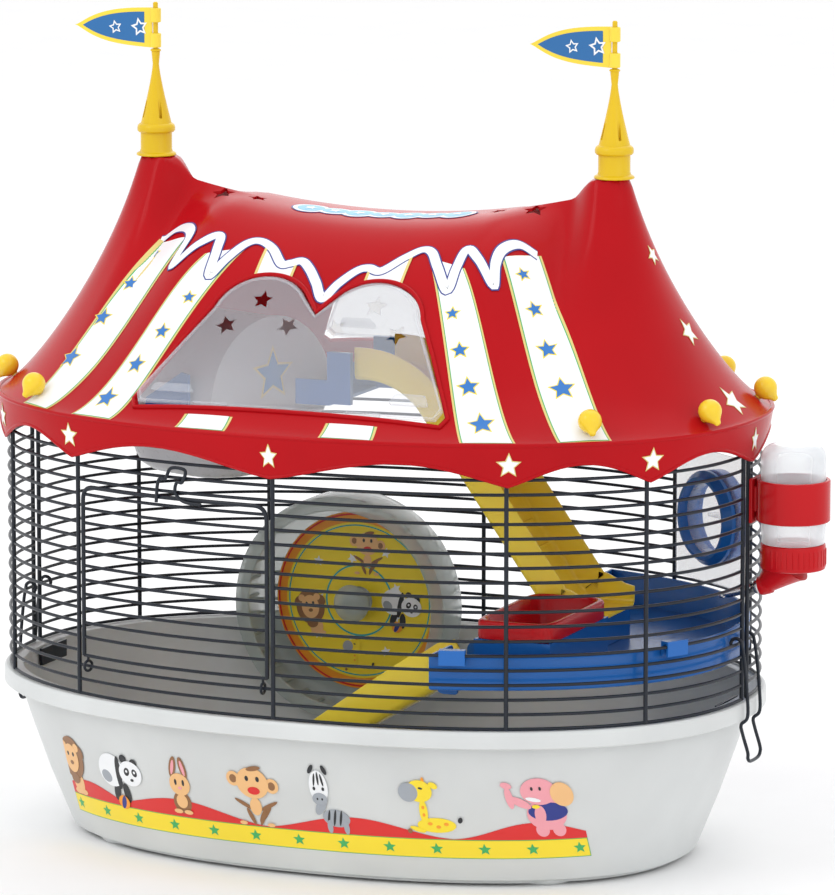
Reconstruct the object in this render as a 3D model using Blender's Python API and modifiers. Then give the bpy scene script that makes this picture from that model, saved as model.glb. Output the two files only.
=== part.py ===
"""Hamster cage with a tent-shaped roof: tray, wire walls, roof, play levels, wheel, bottle and tube port.

Metres, +Z up. The origin is the bottom centre of the tray. +X is the bottle end, and the front faces -Y.
"""

import math

import bmesh
import bpy
import numpy as np
from mathutils import Matrix, Vector

mm = 0.001
gap = 0.3 * mm  # air between pieces that touch

# Tray
tray_length = 495 * mm
tray_depth = 345 * mm
plan_power = 2.25  # 2 is an ellipse; more is squarer
rim_z = 106.6 * mm
rim_width = 12 * mm
rim_lip = 10.8 * mm
tray_wall = 2.5 * mm
tray_taper = 31.5 * mm  # the wall's inward slope, from the rim to the floor
foot_height = 4 * mm
foot_radius = 17 * mm
tray_facets = 44
catch_half = 18 * mm
catch_clear = 0.3 * mm

# Wire walls
wire_inset = 4 * mm  # from the rim's edge to the wires' centre
wire_thick = 2.1 * mm
post_thick = 2.8 * mm
post_out = 0.4 * mm  # the uprights are welded on the outer side
wire_pitch = 9 * mm
first_wire_gap = 1.3 * mm  # from the rim to the first wire's centre
wire_rows = 18
cage_steps = 2  # straight lengths of wire between two uprights
side_post_in = 100.5 * mm  # uprights, measured in from the wires at the ends
corner_post_in = 30 * mm

# Door
door_row = 2  # the wire that the door hangs on
door_top_row = 15
door_side_gap = 4 * mm
door_lift = 6.4 * mm  # the door's bottom wire stands this far above its hinge wire

# Roof
crease_out = 3 * mm  # the crease stands this far outside the rim
crease_up = 13.1 * mm  # heights of the roof are measured up from the top wire
skirt_in = 2 * mm
skirt_tip_up = -12.4 * mm
skirt_arch_up = 1.1 * mm
ridge_up = 129.1 * mm
ridge_rise = 22 * mm
peak_x = 156 * mm
peak_up = 158.1 * mm
peak_radius = 12.7 * mm
roof_wall = 2 * mm

# Windows
window_foot_in = 22.5 * mm  # from the rim's edge
window_foot_up = 24.1 * mm
window_meet = 173.17 * mm  # from the window's foot up to where its plane crosses the middle of the cage
window_half = 103 * mm
window_height = 98 * mm
window_valley = 72 * mm
pane_thick = 1.3 * mm
pane_clear = 1 * mm

# Spires and flags
spire_height = 97.5 * mm
spire_radius = 10 * mm
pole_radius = 1.6 * mm
flag_length = 56 * mm
flag_height = 25 * mm
flag_thick = 1.4 * mm
sleeve_clear = 0.45 * mm

bulb_radius = 7.3 * mm

# Upper level
nest_x = -113 * mm
nest_y = 4 * mm
nest_turn = math.radians(-21)
nest_half_width = 57 * mm
nest_half_length = 52 * mm
nest_rim_up = -1.9 * mm  # from the top wire
nest_deep = 41 * mm
house_radius = 53 * mm
house_length = 82 * mm
house_leg = 9 * mm
house_door = 17 * mm
sheet = 2 * mm  # plastic wall of the play pieces

# Slide, ramp and platform
slide_width = 66 * mm
slide_top_x = -12 * mm
slide_top_up = 24.1 * mm
slide_wall = 21 * mm
platform_reach = 147.5 * mm  # from the wires at the end to the platform's open side
platform_inset = 6.5 * mm
platform_floor_z = 130 * mm
platform_front_z = 152 * mm
platform_port_gap = 14.4 * mm  # from the platform's rear wall up to the port's ring
bowl_length = 100 * mm
bowl_width = 52 * mm
bowl_deep = 22 * mm
bowl_lip = 11.5 * mm
bowl_top_z = 168.5 * mm
bowl_wall_clear = 6 * mm  # from the bowl's corner to the platform's wall
landing_z = 150.5 * mm
ramp_width = 46 * mm
ramp_foot_x = -105 * mm
ramp_tray_clear = 3.2 * mm
ramp_wall = 27 * mm
ramp_pin_radius = 2.2 * mm

# Wheel
wheel_radius = 74.5 * mm
wheel_depth = 36.5 * mm
wheel_x = -73 * mm
wheel_z = 123 * mm
wheel_wall_gap = 5 * mm
wheel_tray_gap = 1 * mm
wheel_bevel_in = 7 * mm  # the drum's back edge is bevelled this far in and this deep
wheel_bevel_deep = 6 * mm
axle_radius = 3 * mm
axle_clear = 0.3 * mm

# Bottle
bottle_radius = 20.3 * mm
bottle_top_up = -1.9 * mm  # from the top wire
bottle_cap_up = 14.6 * mm  # from the spout's way through the wires
bottle_cap_height = 16 * mm
bottle_y = 11 * mm
bottle_gap = 7.5 * mm  # from the wires to the flask
spout_row = 7
spout_tilt = math.radians(17)
spout_clear = 0.75 * mm  # between the spout and the wires above and below it
spout_reach = 19 * mm

# Tube port
port_hole = 27 * mm
port_flange = 3.5 * mm
port_low_row = 5
port_high_row = 15

wire_a = tray_length / 2 - wire_inset
wire_b = tray_depth / 2 - wire_inset
side_post_x = wire_a - side_post_in
corner_post_x = wire_a - corner_post_in


def row_z(row):
    return rim_z + first_wire_gap + row * wire_pitch


def plan_y(x, a, b, power=plan_power):
    return b * (1 - abs(x / a) ** power) ** (1 / power)


# Heights that follow the wires
wall_top_z = row_z(wire_rows)
crease_z = wall_top_z + crease_up
skirt_tip_z = wall_top_z + skirt_tip_up
skirt_arch_z = wall_top_z + skirt_arch_up
ridge_z = wall_top_z + ridge_up
peak_z = wall_top_z + peak_up
window_foot_z = wall_top_z + window_foot_up
window_foot_y = tray_depth / 2 - window_foot_in
window_slope = math.atan2(window_meet, window_foot_y)
nest_rim_z = wall_top_z + nest_rim_up
slide_top_z = wall_top_z + slide_top_up
bottle_top_z = wall_top_z + bottle_top_up
bottle_cap_z = row_z(spout_row) + wire_pitch / 2 + bottle_cap_up
spout_radius = (wire_pitch - wire_thick) / 2 - spout_clear
port_z = (row_z(port_low_row) + row_z(port_high_row)) / 2
platform_rear_z = port_z - port_hole - port_flange - platform_port_gap

# The food bowl's outer corner stands clear of the platform's curved wall, and the slide lies behind the bowl
bowl_far_x = wire_a - platform_reach + 14 * mm + bowl_width
bowl_wall_y = plan_y(bowl_far_x, wire_a - platform_inset - sheet, wire_b - platform_inset - sheet)
slide_y = bowl_length + sheet + gap + bowl_wall_clear - bowl_wall_y

# The ramp's foot stands clear of the tray's sloping wall
tray_foot_inset = tray_taper + rim_width
ramp_foot_wall = plan_y(ramp_foot_x, tray_length / 2 - tray_foot_inset, tray_depth / 2 - tray_foot_inset)
ramp_y = ramp_tray_clear - ramp_foot_wall


# ---------------------------------------------------------------- scene and materials

for old in list(bpy.data.objects):
    bpy.data.objects.remove(old, do_unlink=True)

parts = bpy.data.collections.new("hamster_cage")
cutters = bpy.data.collections.new("cutters")
bpy.context.scene.collection.children.link(parts)
bpy.context.scene.collection.children.link(cutters)


def material(name, colour, roughness=0.35, metallic=0.0, alpha=1.0):
    made = bpy.data.materials.new(name)
    made.use_nodes = True
    shader = made.node_tree.nodes["Principled BSDF"]
    shader.inputs["Base Color"].default_value = (*colour, 1)
    shader.inputs["Roughness"].default_value = roughness
    shader.inputs["Metallic"].default_value = metallic
    shader.inputs["Alpha"].default_value = alpha
    made.diffuse_color = (*colour, alpha)
    return made


white = material("white_plastic", (0.78, 0.8, 0.79), 0.42)
wire_paint = material("dark_wire", (0.018, 0.024, 0.034), 0.35)
red = material("red_plastic", (0.58, 0.008, 0.012), 0.18)
yellow = material("yellow_plastic", (0.86, 0.6, 0.03), 0.28)
flag_film = material("flag_plastic", (0.86, 0.62, 0.04), 0.3)
clear = material("clear_plastic", (0.9, 0.93, 0.94), 0.08, alpha=0.3)
milky = material("milky_plastic", (0.8, 0.8, 0.8), 0.3)
blue = material("blue_plastic", (0.02, 0.13, 0.5), 0.25)
slide_yellow = material("slide_plastic", (0.85, 0.55, 0.03), 0.25)
smoke = material("wheel_plastic", (0.55, 0.62, 0.6), 0.2)
steel = material("steel", (0.6, 0.6, 0.62), 0.25, 1.0)


# ---------------------------------------------------------------- shared tools


def place(mesh, name, finish, smooth=True):
    """Puts a mesh in the collection as the object of that name."""
    obj = bpy.data.objects.new(name, mesh)
    parts.objects.link(obj)
    mesh.materials.clear()
    mesh.materials.append(finish)
    if smooth:
        mesh.shade_smooth()
        mesh.set_sharp_from_angle(angle=math.radians(35))
    return obj


def mesh_of(name, points, faces):
    mesh = bpy.data.meshes.new(name)
    mesh.from_pydata([tuple(p) for p in points], [], [tuple(f) for f in faces])
    return mesh


def tidy(mesh, merge=0.01 * mm):
    """Merges doubled points and turns the faces of a closed mesh outwards."""
    work = bmesh.new()
    work.from_mesh(mesh)
    bmesh.ops.remove_doubles(work, verts=work.verts, dist=merge)
    bmesh.ops.recalc_face_normals(work, faces=work.faces)
    work.to_mesh(mesh)
    work.free()
    return mesh


def evaluated(obj):
    """The object's mesh with its modifiers and its place applied."""
    bpy.context.view_layer.update()
    graph = bpy.context.evaluated_depsgraph_get()
    mesh = bpy.data.meshes.new_from_object(obj.evaluated_get(graph))
    mesh.transform(obj.matrix_world)
    return mesh


def boolean(obj, other, operation):
    """Joins to obj, or cuts from it, a helper object, which is then removed."""
    change = obj.modifiers.new(operation.lower(), "BOOLEAN")
    change.operation = operation
    change.object = other
    change.solver = "EXACT"
    mesh = evaluated(obj)
    finish = obj.data.materials[0]
    name = obj.name
    bpy.data.objects.remove(obj, do_unlink=True)
    bpy.data.objects.remove(other, do_unlink=True)
    tidy(mesh, 0.002 * mm)
    return place(mesh, name, finish)


def helper(mesh):
    """A cutter or a piece to be joined."""
    obj = bpy.data.objects.new("helper", mesh)
    cutters.objects.link(obj)
    obj.hide_render = True
    obj.display_type = "WIRE"
    return obj


def box_mesh(low, high):
    low, high = Vector(low), Vector(high)
    work = bmesh.new()
    bmesh.ops.create_cube(work, size=1)
    bmesh.ops.scale(work, vec=high - low, verts=work.verts)
    bmesh.ops.translate(work, vec=(low + high) / 2, verts=work.verts)
    mesh = bpy.data.meshes.new("box")
    work.to_mesh(mesh)
    work.free()
    return mesh


def cylinder_mesh(start, end, radius, end_radius=None, sides=20):
    """A capped cylinder or cone between two points."""
    start, end = Vector(start), Vector(end)
    along = end - start
    work = bmesh.new()
    bmesh.ops.create_cone(
        work,
        cap_ends=True,
        segments=sides,
        radius1=radius,
        radius2=radius if end_radius is None else end_radius,
        depth=along.length,
    )
    turn = along.to_track_quat("Z", "Y").to_matrix().to_4x4()
    bmesh.ops.transform(work, matrix=Matrix.Translation((start + end) / 2) @ turn, verts=work.verts)
    mesh = bpy.data.meshes.new("cylinder")
    work.to_mesh(mesh)
    work.free()
    return mesh


def outline_mesh(points, thickness, frame):
    """A flat outline (x, y) given a thickness about its plane, put in place by a matrix."""
    curve = bpy.data.curves.new("outline", "CURVE")
    curve.dimensions = "2D"
    curve.fill_mode = "BOTH"
    curve.extrude = thickness / 2
    line = curve.splines.new("POLY")
    line.points.add(len(points) - 1)
    for point, (x, y) in zip(line.points, points):
        point.co = (x, y, 0, 1)
    line.use_cyclic_u = True
    obj = bpy.data.objects.new("outline", curve)
    bpy.context.scene.collection.objects.link(obj)
    obj.matrix_world = frame
    mesh = evaluated(obj)
    bpy.data.objects.remove(obj, do_unlink=True)
    return tidy(mesh)


def wire_mesh(points, radius, resolution=1):
    """A round wire along the points, with closed ends."""
    curve = bpy.data.curves.new("wire", "CURVE")
    curve.dimensions = "3D"
    curve.bevel_depth = radius
    curve.bevel_resolution = resolution
    curve.use_fill_caps = True
    line = curve.splines.new("POLY")
    line.points.add(len(points) - 1)
    for point, place_at in zip(line.points, points):
        point.co = (*place_at, 1)
    obj = bpy.data.objects.new("wire", curve)
    bpy.context.scene.collection.objects.link(obj)
    mesh = evaluated(obj)
    bpy.data.objects.remove(obj, do_unlink=True)
    return tidy(mesh)


def ring_mesh(centre, axis, radius, thickness, sides=12, round_sides=6):
    """A closed ring of round wire about an axis."""
    axis = Vector(axis).normalized()
    turn = axis.to_track_quat("Z", "Y").to_matrix().to_4x4()
    bpy.ops.mesh.primitive_torus_add(
        major_segments=sides, minor_segments=round_sides, major_radius=radius, minor_radius=thickness
    )
    obj = bpy.context.object
    mesh = obj.data.copy()
    bpy.data.objects.remove(obj, do_unlink=True)
    mesh.transform(Matrix.Translation(centre) @ turn)
    return mesh


def turned(name, profile, finish, steps=24, frame=None):
    """A turned piece. The profile (radius, height) runs down its outer side."""
    mesh = bpy.data.meshes.new(name)
    edges = [(i, i + 1) for i in range(len(profile) - 1)]
    mesh.from_pydata([(r, 0, z) for r, z in profile], edges, [])
    obj = bpy.data.objects.new(name, mesh)
    bpy.context.scene.collection.objects.link(obj)
    screw = obj.modifiers.new("turn", "SCREW")
    screw.steps = steps
    screw.render_steps = steps
    screw.use_merge_vertices = True
    screw.merge_threshold = 0.00001
    if frame is not None:
        obj.matrix_world = frame
    made = evaluated(obj)
    bpy.data.objects.remove(obj, do_unlink=True)
    return place(tidy(made), name, finish)


def axis_frame(origin, axis):
    """Local +Z along the axis."""
    return Matrix.Translation(origin) @ Vector(axis).to_track_quat("Z", "Y").to_matrix().to_4x4()


def loft_mesh(name, rings, closed=True):
    """Skins rings of equal length, one after the other, and closes the first and last with flat ends."""
    count = len(rings[0])
    points = np.concatenate([np.asarray(r) for r in rings])
    faces = []
    for row in range(len(rings) - 1):
        for i in range(count):
            j = (i + 1) % count
            faces.append((row * count + i, row * count + j, (row + 1) * count + j, (row + 1) * count + i))
    if closed:
        faces.append(tuple(range(count)))
        faces.append(tuple((len(rings) - 1) * count + i for i in range(count)))
    return tidy(mesh_of(name, points, faces))


def set_pivot(obj, pivot):
    """Moves the object's origin to its joint's axis."""
    pivot = Vector(pivot)
    obj.data.transform(Matrix.Translation(-pivot))
    obj.matrix_world = Matrix.Translation(pivot)


# ---------------------------------------------------------------- the plan curve


def plan(angle, a, b, power=plan_power):
    """Points of the rounded outline with half-sizes a and b."""
    c, s = np.cos(angle), np.sin(angle)
    x = a * np.sign(c) * np.abs(c) ** (2 / power)
    y = b * np.sign(s) * np.abs(s) ** (2 / power)
    return x, y


def plan_angle(x, a):
    """The outline's parameter, in the first quarter, at this x."""
    return math.acos(min(1.0, (abs(x) / a) ** (plan_power / 2)))


def post_angles():
    """Parameters of the twelve uprights and scallop tips, right round from the +X end."""
    side = plan_angle(side_post_x, wire_a)
    corner = plan_angle(corner_post_x, wire_a)
    quarter = [0, corner, side, math.pi / 2]
    half = quarter + [math.pi - a for a in reversed(quarter[:-1])]
    return half[:-1] + [math.pi + a for a in half[:-1]]


def bays(steps):
    """Parameters with each bay between two uprights cut into this many equal steps."""
    ends = post_angles() + [2 * math.pi]
    found = []
    for a, b in zip(ends[:-1], ends[1:]):
        found += [a + (b - a) * i / steps for i in range(steps)]
    return np.array(found)


def even_angles(count, a, b):
    """Parameters at equal distances along the outline."""
    fine = np.linspace(0, 2 * math.pi, 4001)
    x, y = plan(fine, a, b)
    run = np.concatenate([[0], np.cumsum(np.hypot(np.diff(x), np.diff(y)))])
    return np.interp(np.linspace(0, run[-1], count + 1)[:-1], run, fine)


# ---------------------------------------------------------------- tray


def tray_wall_line():
    """The outside of the sloping wall as (inset from the rim's edge, height)."""
    floor = foot_height
    low = tray_taper + rim_width - tray_wall
    outer_top = rim_width - tray_wall
    return [
        (low + 3 * mm, floor),
        (low, floor + 3 * mm),
        (low - tray_taper * 0.42, floor + 0.34 * rim_z),
        (low - tray_taper * 0.76, floor + 0.63 * rim_z),
        (outer_top + 0.5 * mm, rim_z - rim_lip - 2 * mm),
    ]


def make_tray():
    a, b = tray_length / 2, tray_depth / 2
    angles = even_angles(tray_facets, a, b)
    floor = foot_height
    low = tray_taper + rim_width - tray_wall
    outer_top = rim_width - tray_wall
    wall = tray_wall_line()
    lip = [
        (outer_top, rim_z - 3 * mm),
        (2 * mm, rim_z - 3 * mm),
        (2 * mm, rim_z - rim_lip),
        (0, rim_z - rim_lip),
        (0, rim_z - 2 * mm),
        (1.5 * mm, rim_z),
        (rim_width, rim_z),
    ]
    inside = [(inset + tray_wall, z) for inset, z in reversed(wall[1:])]
    inside[-1] = (low + tray_wall + 3 * mm, floor + tray_wall)
    rings = []
    for inset, z in wall + lip + inside:
        x, y = plan(angles, a - inset, b - inset)
        rings.append(np.stack([x, y, np.full_like(x, z)], 1))
    tray = place(loft_mesh("tray", rings), "tray", white)
    inset = low + foot_radius + 4 * mm
    x, y = plan(np.array([math.radians(42)]), a - inset, b - inset)
    spots = [(sx * x[0], sy * y[0]) for sx in (-1, 1) for sy in (-1, 1)] + [(0, 0)]
    for x, y in spots:
        foot = cylinder_mesh((x, y, 0), (x, y, foot_height + 1 * mm), foot_radius - 2 * mm, foot_radius, 16)
        tray = boolean(tray, helper(foot), "UNION")
    return tray


def make_rim_catch(name, side):
    """The dark plate inside the rim behind a clip, just clear of the rim's straight facets at its corners."""
    inset = rim_width + 0.5 * mm
    angles = even_angles(tray_facets, tray_length / 2, tray_depth / 2)[: tray_facets // 4]
    edge_x, edge_y = plan(angles, tray_length / 2 - inset, tray_depth / 2 - inset)
    x = np.interp(catch_half, edge_y, edge_x) - catch_clear
    low, high = sorted((side * x, side * (x - 2 * mm)))
    plate = box_mesh((low, -catch_half, rim_z - 12 * mm), (high, catch_half, rim_z - 1 * mm))
    return place(plate, name, wire_paint)


# ---------------------------------------------------------------- wire walls


def wires_mesh(lines, radius, resolution):
    """Several round wires as one mesh."""
    curve = bpy.data.curves.new("wires", "CURVE")
    curve.dimensions = "3D"
    curve.bevel_depth = radius
    curve.bevel_resolution = resolution
    curve.use_fill_caps = True
    for points in lines:
        line = curve.splines.new("POLY")
        line.points.add(len(points) - 1)
        for point, place_at in zip(line.points, points):
            point.co = (*place_at, 1)
    obj = bpy.data.objects.new("wires", curve)
    bpy.context.scene.collection.objects.link(obj)
    mesh = evaluated(obj)
    bpy.data.objects.remove(obj, do_unlink=True)
    return tidy(mesh)


def lattice(name, angles, rows, steps, keep):
    """Welded wires: level ones in rows, and an upright after every few steps. keep says which cells are wired."""
    angles = np.array(angles)
    x, y = plan(angles, wire_a, wire_b)
    ux, uy = plan(angles, wire_a + post_out, wire_b + post_out)
    posts = list(range(0, len(angles), steps))
    cells = [[keep(r, left) for left in posts[:-1]] for r in range(len(rows) - 1)]
    level = []
    for r, z in enumerate(rows):
        run = []
        for c, left in enumerate(posts[:-1]):
            wired = (r > 0 and cells[r - 1][c]) or (r < len(rows) - 1 and cells[r][c])
            if wired:
                run += [(x[i], y[i], z) for i in range(left + (1 if run else 0), left + steps + 1)]
            elif run:
                level.append(run)
                run = []
        if run:
            level.append(run)
    upright = [[(ux[i], uy[i], rows[0]), (ux[i], uy[i], rows[-1])] for i in posts]
    made = place(wires_mesh(level, wire_thick / 2, 0), name, wire_paint, smooth=False)
    return boolean(made, helper(wires_mesh(upright, post_thick / 2, 0)), "UNION")


def cage_rows():
    return [rim_z + wire_thick / 2 + gap] + [row_z(k) for k in range(1, wire_rows + 1)]


def make_cage():
    """Front and rear panels, parted at the two end uprights."""
    steps = cage_steps
    angles = list(bays(steps))
    half = len(angles) // 2
    rows = cage_rows()
    end_split = math.radians(0.9)
    rear = angles[: half + 1]
    rear[0] += end_split
    rear[-1] -= end_split
    front = angles[half:] + [2 * math.pi]
    front[0] += end_split
    front[-1] -= end_split
    port_bay = steps  # the second bay from the +X end, between the corner and side uprights

    def keep_rear(row, left):
        return not (left == port_bay and port_low_row <= row < port_high_row)

    door_bay = 2 * steps  # from the side upright to the centre one

    def keep_front(row, left):
        return not (left == door_bay and door_row <= row < door_top_row)

    lattice("cage_rear", rear, rows, steps, keep_rear)
    lattice("cage_front", front, rows, steps, keep_front)


def front_angle(x):
    """The outline's parameter on the front at this x."""
    found = plan_angle(x, wire_a)
    return math.pi + found if x < 0 else 2 * math.pi - found


def wall_spot(x, z, out=0.0, side=-1):
    """A point on the wire wall and its outward direction. side is -1 at the front."""
    d = 0.1 * mm
    y = plan_y(x, wire_a, wire_b)
    slope = (plan_y(x + d, wire_a, wire_b) - plan_y(x - d, wire_a, wire_b)) / (2 * d)
    normal = Vector((-slope, 1, 0)).normalized()
    normal.y *= side
    return Vector((x, side * y, z)) + normal * out, normal


def wire_spot(post_x, steps, z):
    """The middle of the straight front wire beside an upright, and its outward direction."""
    angles = bays(cage_steps)
    post = int(np.argmin(np.abs(angles - front_angle(post_x))))
    x, y = plan(angles[[post, (post + steps) % len(angles)]], wire_a, wire_b)
    along = Vector((x[1] - x[0], y[1] - y[0], 0)).normalized()
    out = along.cross(Vector((0, 0, 1)))
    spot = Vector((x.mean(), y.mean(), z))
    return spot, out if out.dot(spot) > 0 else -out


def make_door():
    left, right = -side_post_x + door_side_gap, -door_side_gap
    angles = np.linspace(front_angle(left), front_angle(right), 4)
    rows = [row_z(door_row) + door_lift]
    rows += [row_z(k) for k in range(door_row + 2, door_top_row)]
    rows += [row_z(door_top_row) - 4 * mm]
    door = lattice("door", angles, rows, len(angles) - 1, lambda row, left: True)
    pins = []
    up = Vector((0, 0, 1))
    for x in (left + 3 * mm, right - 3 * mm):
        spot, normal = wall_spot(x, row_z(door_row))
        along = normal.cross(Vector((0, 0, 1)))
        ring = ring_mesh(spot, along, 3.2 * mm, 0.9 * mm)
        door = boolean(door, helper(ring), "UNION")
        stem = cylinder_mesh(spot + up * 2.8 * mm, spot + up * door_lift, 0.9 * mm, sides=6)
        door = boolean(door, helper(stem), "UNION")
        pins.append(spot)
    set_pivot(door, pins[0])
    out = wire_thick / 2 + 1.1 * mm + gap
    top = rows[-1]
    path = [
        (-80, -3),
        (-79, 8),
        (-77, 12),
        (-73, 12.5),
        (-69, 19),
        (-59, 18.5),
        (-61, 11),
        (-65, 10.5),
        (-66, 4),
        (-60, -1),
        (-48, -2),
    ]
    points = [wall_spot(x * mm, top + dz * mm, out)[0] for x, dz in path]
    latch = place(wire_mesh(points, 1.05 * mm), "door_latch", wire_paint)
    set_pivot(latch, pins[0])


def make_clip(name, side):
    """A sprung wire clip: hooked over a wall wire, out round the rim, under its lip, and ending in a finger loop."""
    pivot_z = row_z(4)
    spread = 11 * mm
    pivot_x = wire_a - 0.9 * mm
    rim = tray_length / 2 - pivot_x
    under = rim_z - rim_lip - 2.3 * mm
    hook = [(3.6 * mm * math.cos(a), 3.6 * mm * math.sin(a)) for a in np.radians([215, 170, 125, 80, 35, 0])]
    body = [
        (5.2 * mm, -9 * mm),
        (rim + 2.6 * mm, rim_z - pivot_z + 6 * mm),
        (rim + 2.9 * mm, under - pivot_z + 5 * mm),
        (rim - 1.2 * mm, under - pivot_z),
        (rim - 0.2 * mm, under - pivot_z - 6 * mm),
        (rim + 3.2 * mm, under - pivot_z - 17 * mm),
        (rim + 3.4 * mm, under - pivot_z - 21 * mm),
    ]
    leg = [(pivot_x + x, spread, pivot_z + z) for x, z in hook + body]
    tail = [(pivot_x + rim + 3.4 * mm, spread * 0.6, under - 23.5 * mm)]
    run = leg + tail
    run += [(x, -y, z) for x, y, z in reversed(run)]
    points = [(side * x, y, z) for x, y, z in run]
    clip = place(wire_mesh(points, 1.1 * mm), name, wire_paint)
    set_pivot(clip, (side * pivot_x, 0, pivot_z))


# ---------------------------------------------------------------- roof


def smooth_step(low, high, value):
    t = np.clip((value - low) / (high - low), 0, 1)
    return t * t * (3 - 2 * t)


def roof_points(angle, run):
    """The tent surface. run is 0 on the ridge and 1 on the crease.

    Each line runs from the ridge to the crease. Mid-span lines bulge, and lines at the peaks hang hollow.
    """
    a, b = tray_length / 2 + crease_out, tray_depth / 2 + crease_out
    cx, cy = plan(angle, a, b)
    share = cx / (0.7 * a)
    rx = peak_x * share / (1 + np.abs(share) ** 6) ** (1 / 6)
    near_peak = smooth_step(0.82, 0.93, np.abs(rx) / peak_x)
    top = ridge_z + ridge_rise * (rx / peak_x) ** 2
    top = top + near_peak * (peak_z - top)
    reach = np.hypot(cx - rx, cy)
    flat = near_peak * peak_radius / reach
    up = np.minimum(1, (1 - run) / (1 - flat))
    bulged = 1 - (1 - up**1.6) ** 3
    hollow = 0.88 * up**1.4 + 0.12 * up**7
    mix = smooth_step(0.55, 1.0, np.abs(rx) / peak_x)
    rise = bulged * (1 - mix) + hollow * mix
    return np.stack([rx + (cx - rx) * run, cy * run, crease_z + (top - crease_z) * rise], -1)


def skirt_edge_z(angle):
    """The scalloped lower edge: tips at the uprights, arches between."""
    ends = np.array(post_angles() + [2 * math.pi])
    share = np.interp(angle % (2 * math.pi), ends, np.arange(len(ends))) % 1
    return skirt_tip_z + (skirt_arch_z - skirt_tip_z) * np.sin(math.pi * share) ** 1.25


def make_roof_shell():
    angles = bays(4)
    runs = [0, 0.05, 0.12, 0.22, 0.34, 0.48, 0.62, 0.76, 0.89, 1]
    grid = [roof_points(angles, np.full_like(angles, run)) for run in runs]
    inset = skirt_in - crease_out
    sx, sy = plan(angles, tray_length / 2 - inset, tray_depth / 2 - inset)
    edge = skirt_edge_z(angles)
    grid.append(np.stack([sx, sy, edge], 1))
    count = len(angles)
    points = np.concatenate(grid)
    faces = []
    for r in range(len(grid) - 1):
        for i in range(count):
            j = (i + 1) % count
            faces.append((r * count + i, (r + 1) * count + i, (r + 1) * count + j, r * count + j))
    mesh = mesh_of("roof_shell", points, faces)
    work = bmesh.new()
    work.from_mesh(mesh)
    bmesh.ops.remove_doubles(work, verts=work.verts, dist=0.02 * mm)
    bmesh.ops.dissolve_degenerate(work, edges=work.edges, dist=0.01 * mm)
    work.to_mesh(mesh)
    work.free()
    roof = place(mesh, "roof_shell", red)
    wall = roof.modifiers.new("wall", "SOLIDIFY")
    wall.thickness = roof_wall
    wall.offset = -1
    made = evaluated(roof)
    bpy.data.objects.remove(roof, do_unlink=True)
    roof = place(tidy(made), "roof_shell", red)
    for side in (-1, 1):
        cutter = outline_mesh(window_outline(0), 80 * mm, window_frame(side))
        roof = boolean(roof, helper(cutter), "DIFFERENCE")
    return roof


def window_outline(inset):
    """Two round arches that meet in a valley, over a foot wider than they are. Right half, then mirrored."""
    arch_x, arch_y = 37 * mm, window_height - 32 * mm
    rx, ry = 33 * mm - inset, 32 * mm - inset
    turns = np.radians(np.linspace(146, 12, 9))
    right = [(0, window_valley - inset)]
    right += [(arch_x + rx * math.cos(t), arch_y + ry * math.sin(t)) for t in turns]
    right += [
        (window_half * 0.8 - inset, window_height * 0.49),
        (window_half - inset, 7 * mm + inset),
        (window_half - 3 * mm - inset, inset),
    ]
    left = [(-x, y) for x, y in reversed(right[1:])]
    return right + left


def window_frame(side):
    """x across, y up the window's slope and z out of it, for the front (-1) or the rear (1)."""
    up = Vector((0, -side * math.cos(window_slope), math.sin(window_slope)))
    across = Vector((-side, 0, 0))
    out = across.cross(up)
    turn = Matrix((across, up, out)).transposed().to_4x4()
    return Matrix.Translation((0, side * window_foot_y, window_foot_z)) @ turn


def make_window(name, side):
    frame = window_frame(side)
    hinge_up = 2.6 * mm
    pane = place(outline_mesh(window_outline(pane_clear), pane_thick, frame), name, clear)
    for low, high in ((-62, -40), (40, 62)):
        ends = [frame @ Vector((x * mm, hinge_up, 0)) for x in (low, high)]
        pane = boolean(pane, helper(cylinder_mesh(*ends, 1.5 * mm, sides=10)), "UNION")
    grip = [(66 * mm, 2 * mm), (90 * mm, 2 * mm), (88 * mm, 9 * mm), (68 * mm, 9 * mm)]
    lift = frame @ Matrix.Translation((0, 0, pane_thick / 2 + 0.8 * mm))
    pane = boolean(pane, helper(outline_mesh(grip, 2 * mm, lift)), "UNION")
    set_pivot(pane, frame @ Vector((0, hinge_up, 0)))


def make_spire(name, x):
    z = peak_z + gap
    top = z + spire_height
    cone_top = z + 58 * mm
    stop = z + 66 * mm
    profile = [
        (0, top),
        (pole_radius, top - 0.8 * mm),
        (pole_radius, stop + 1.5 * mm),
        (pole_radius + 1.8 * mm, stop + 1.5 * mm),
        (pole_radius + 1.8 * mm, stop),
        (pole_radius + 0.4 * mm, cone_top),
        (spire_radius, z + 19.5 * mm),
        (spire_radius + 2.1 * mm, z + 18.5 * mm),
        (spire_radius + 2.1 * mm, z + 15.5 * mm),
        (spire_radius, z + 14.5 * mm),
        (spire_radius, z + 2 * mm),
        (peak_radius, z + 1.6 * mm),
        (peak_radius, z),
        (0, z),
    ]
    turned(name, profile, yellow, 16, Matrix.Translation((x, 0, 0)))


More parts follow.
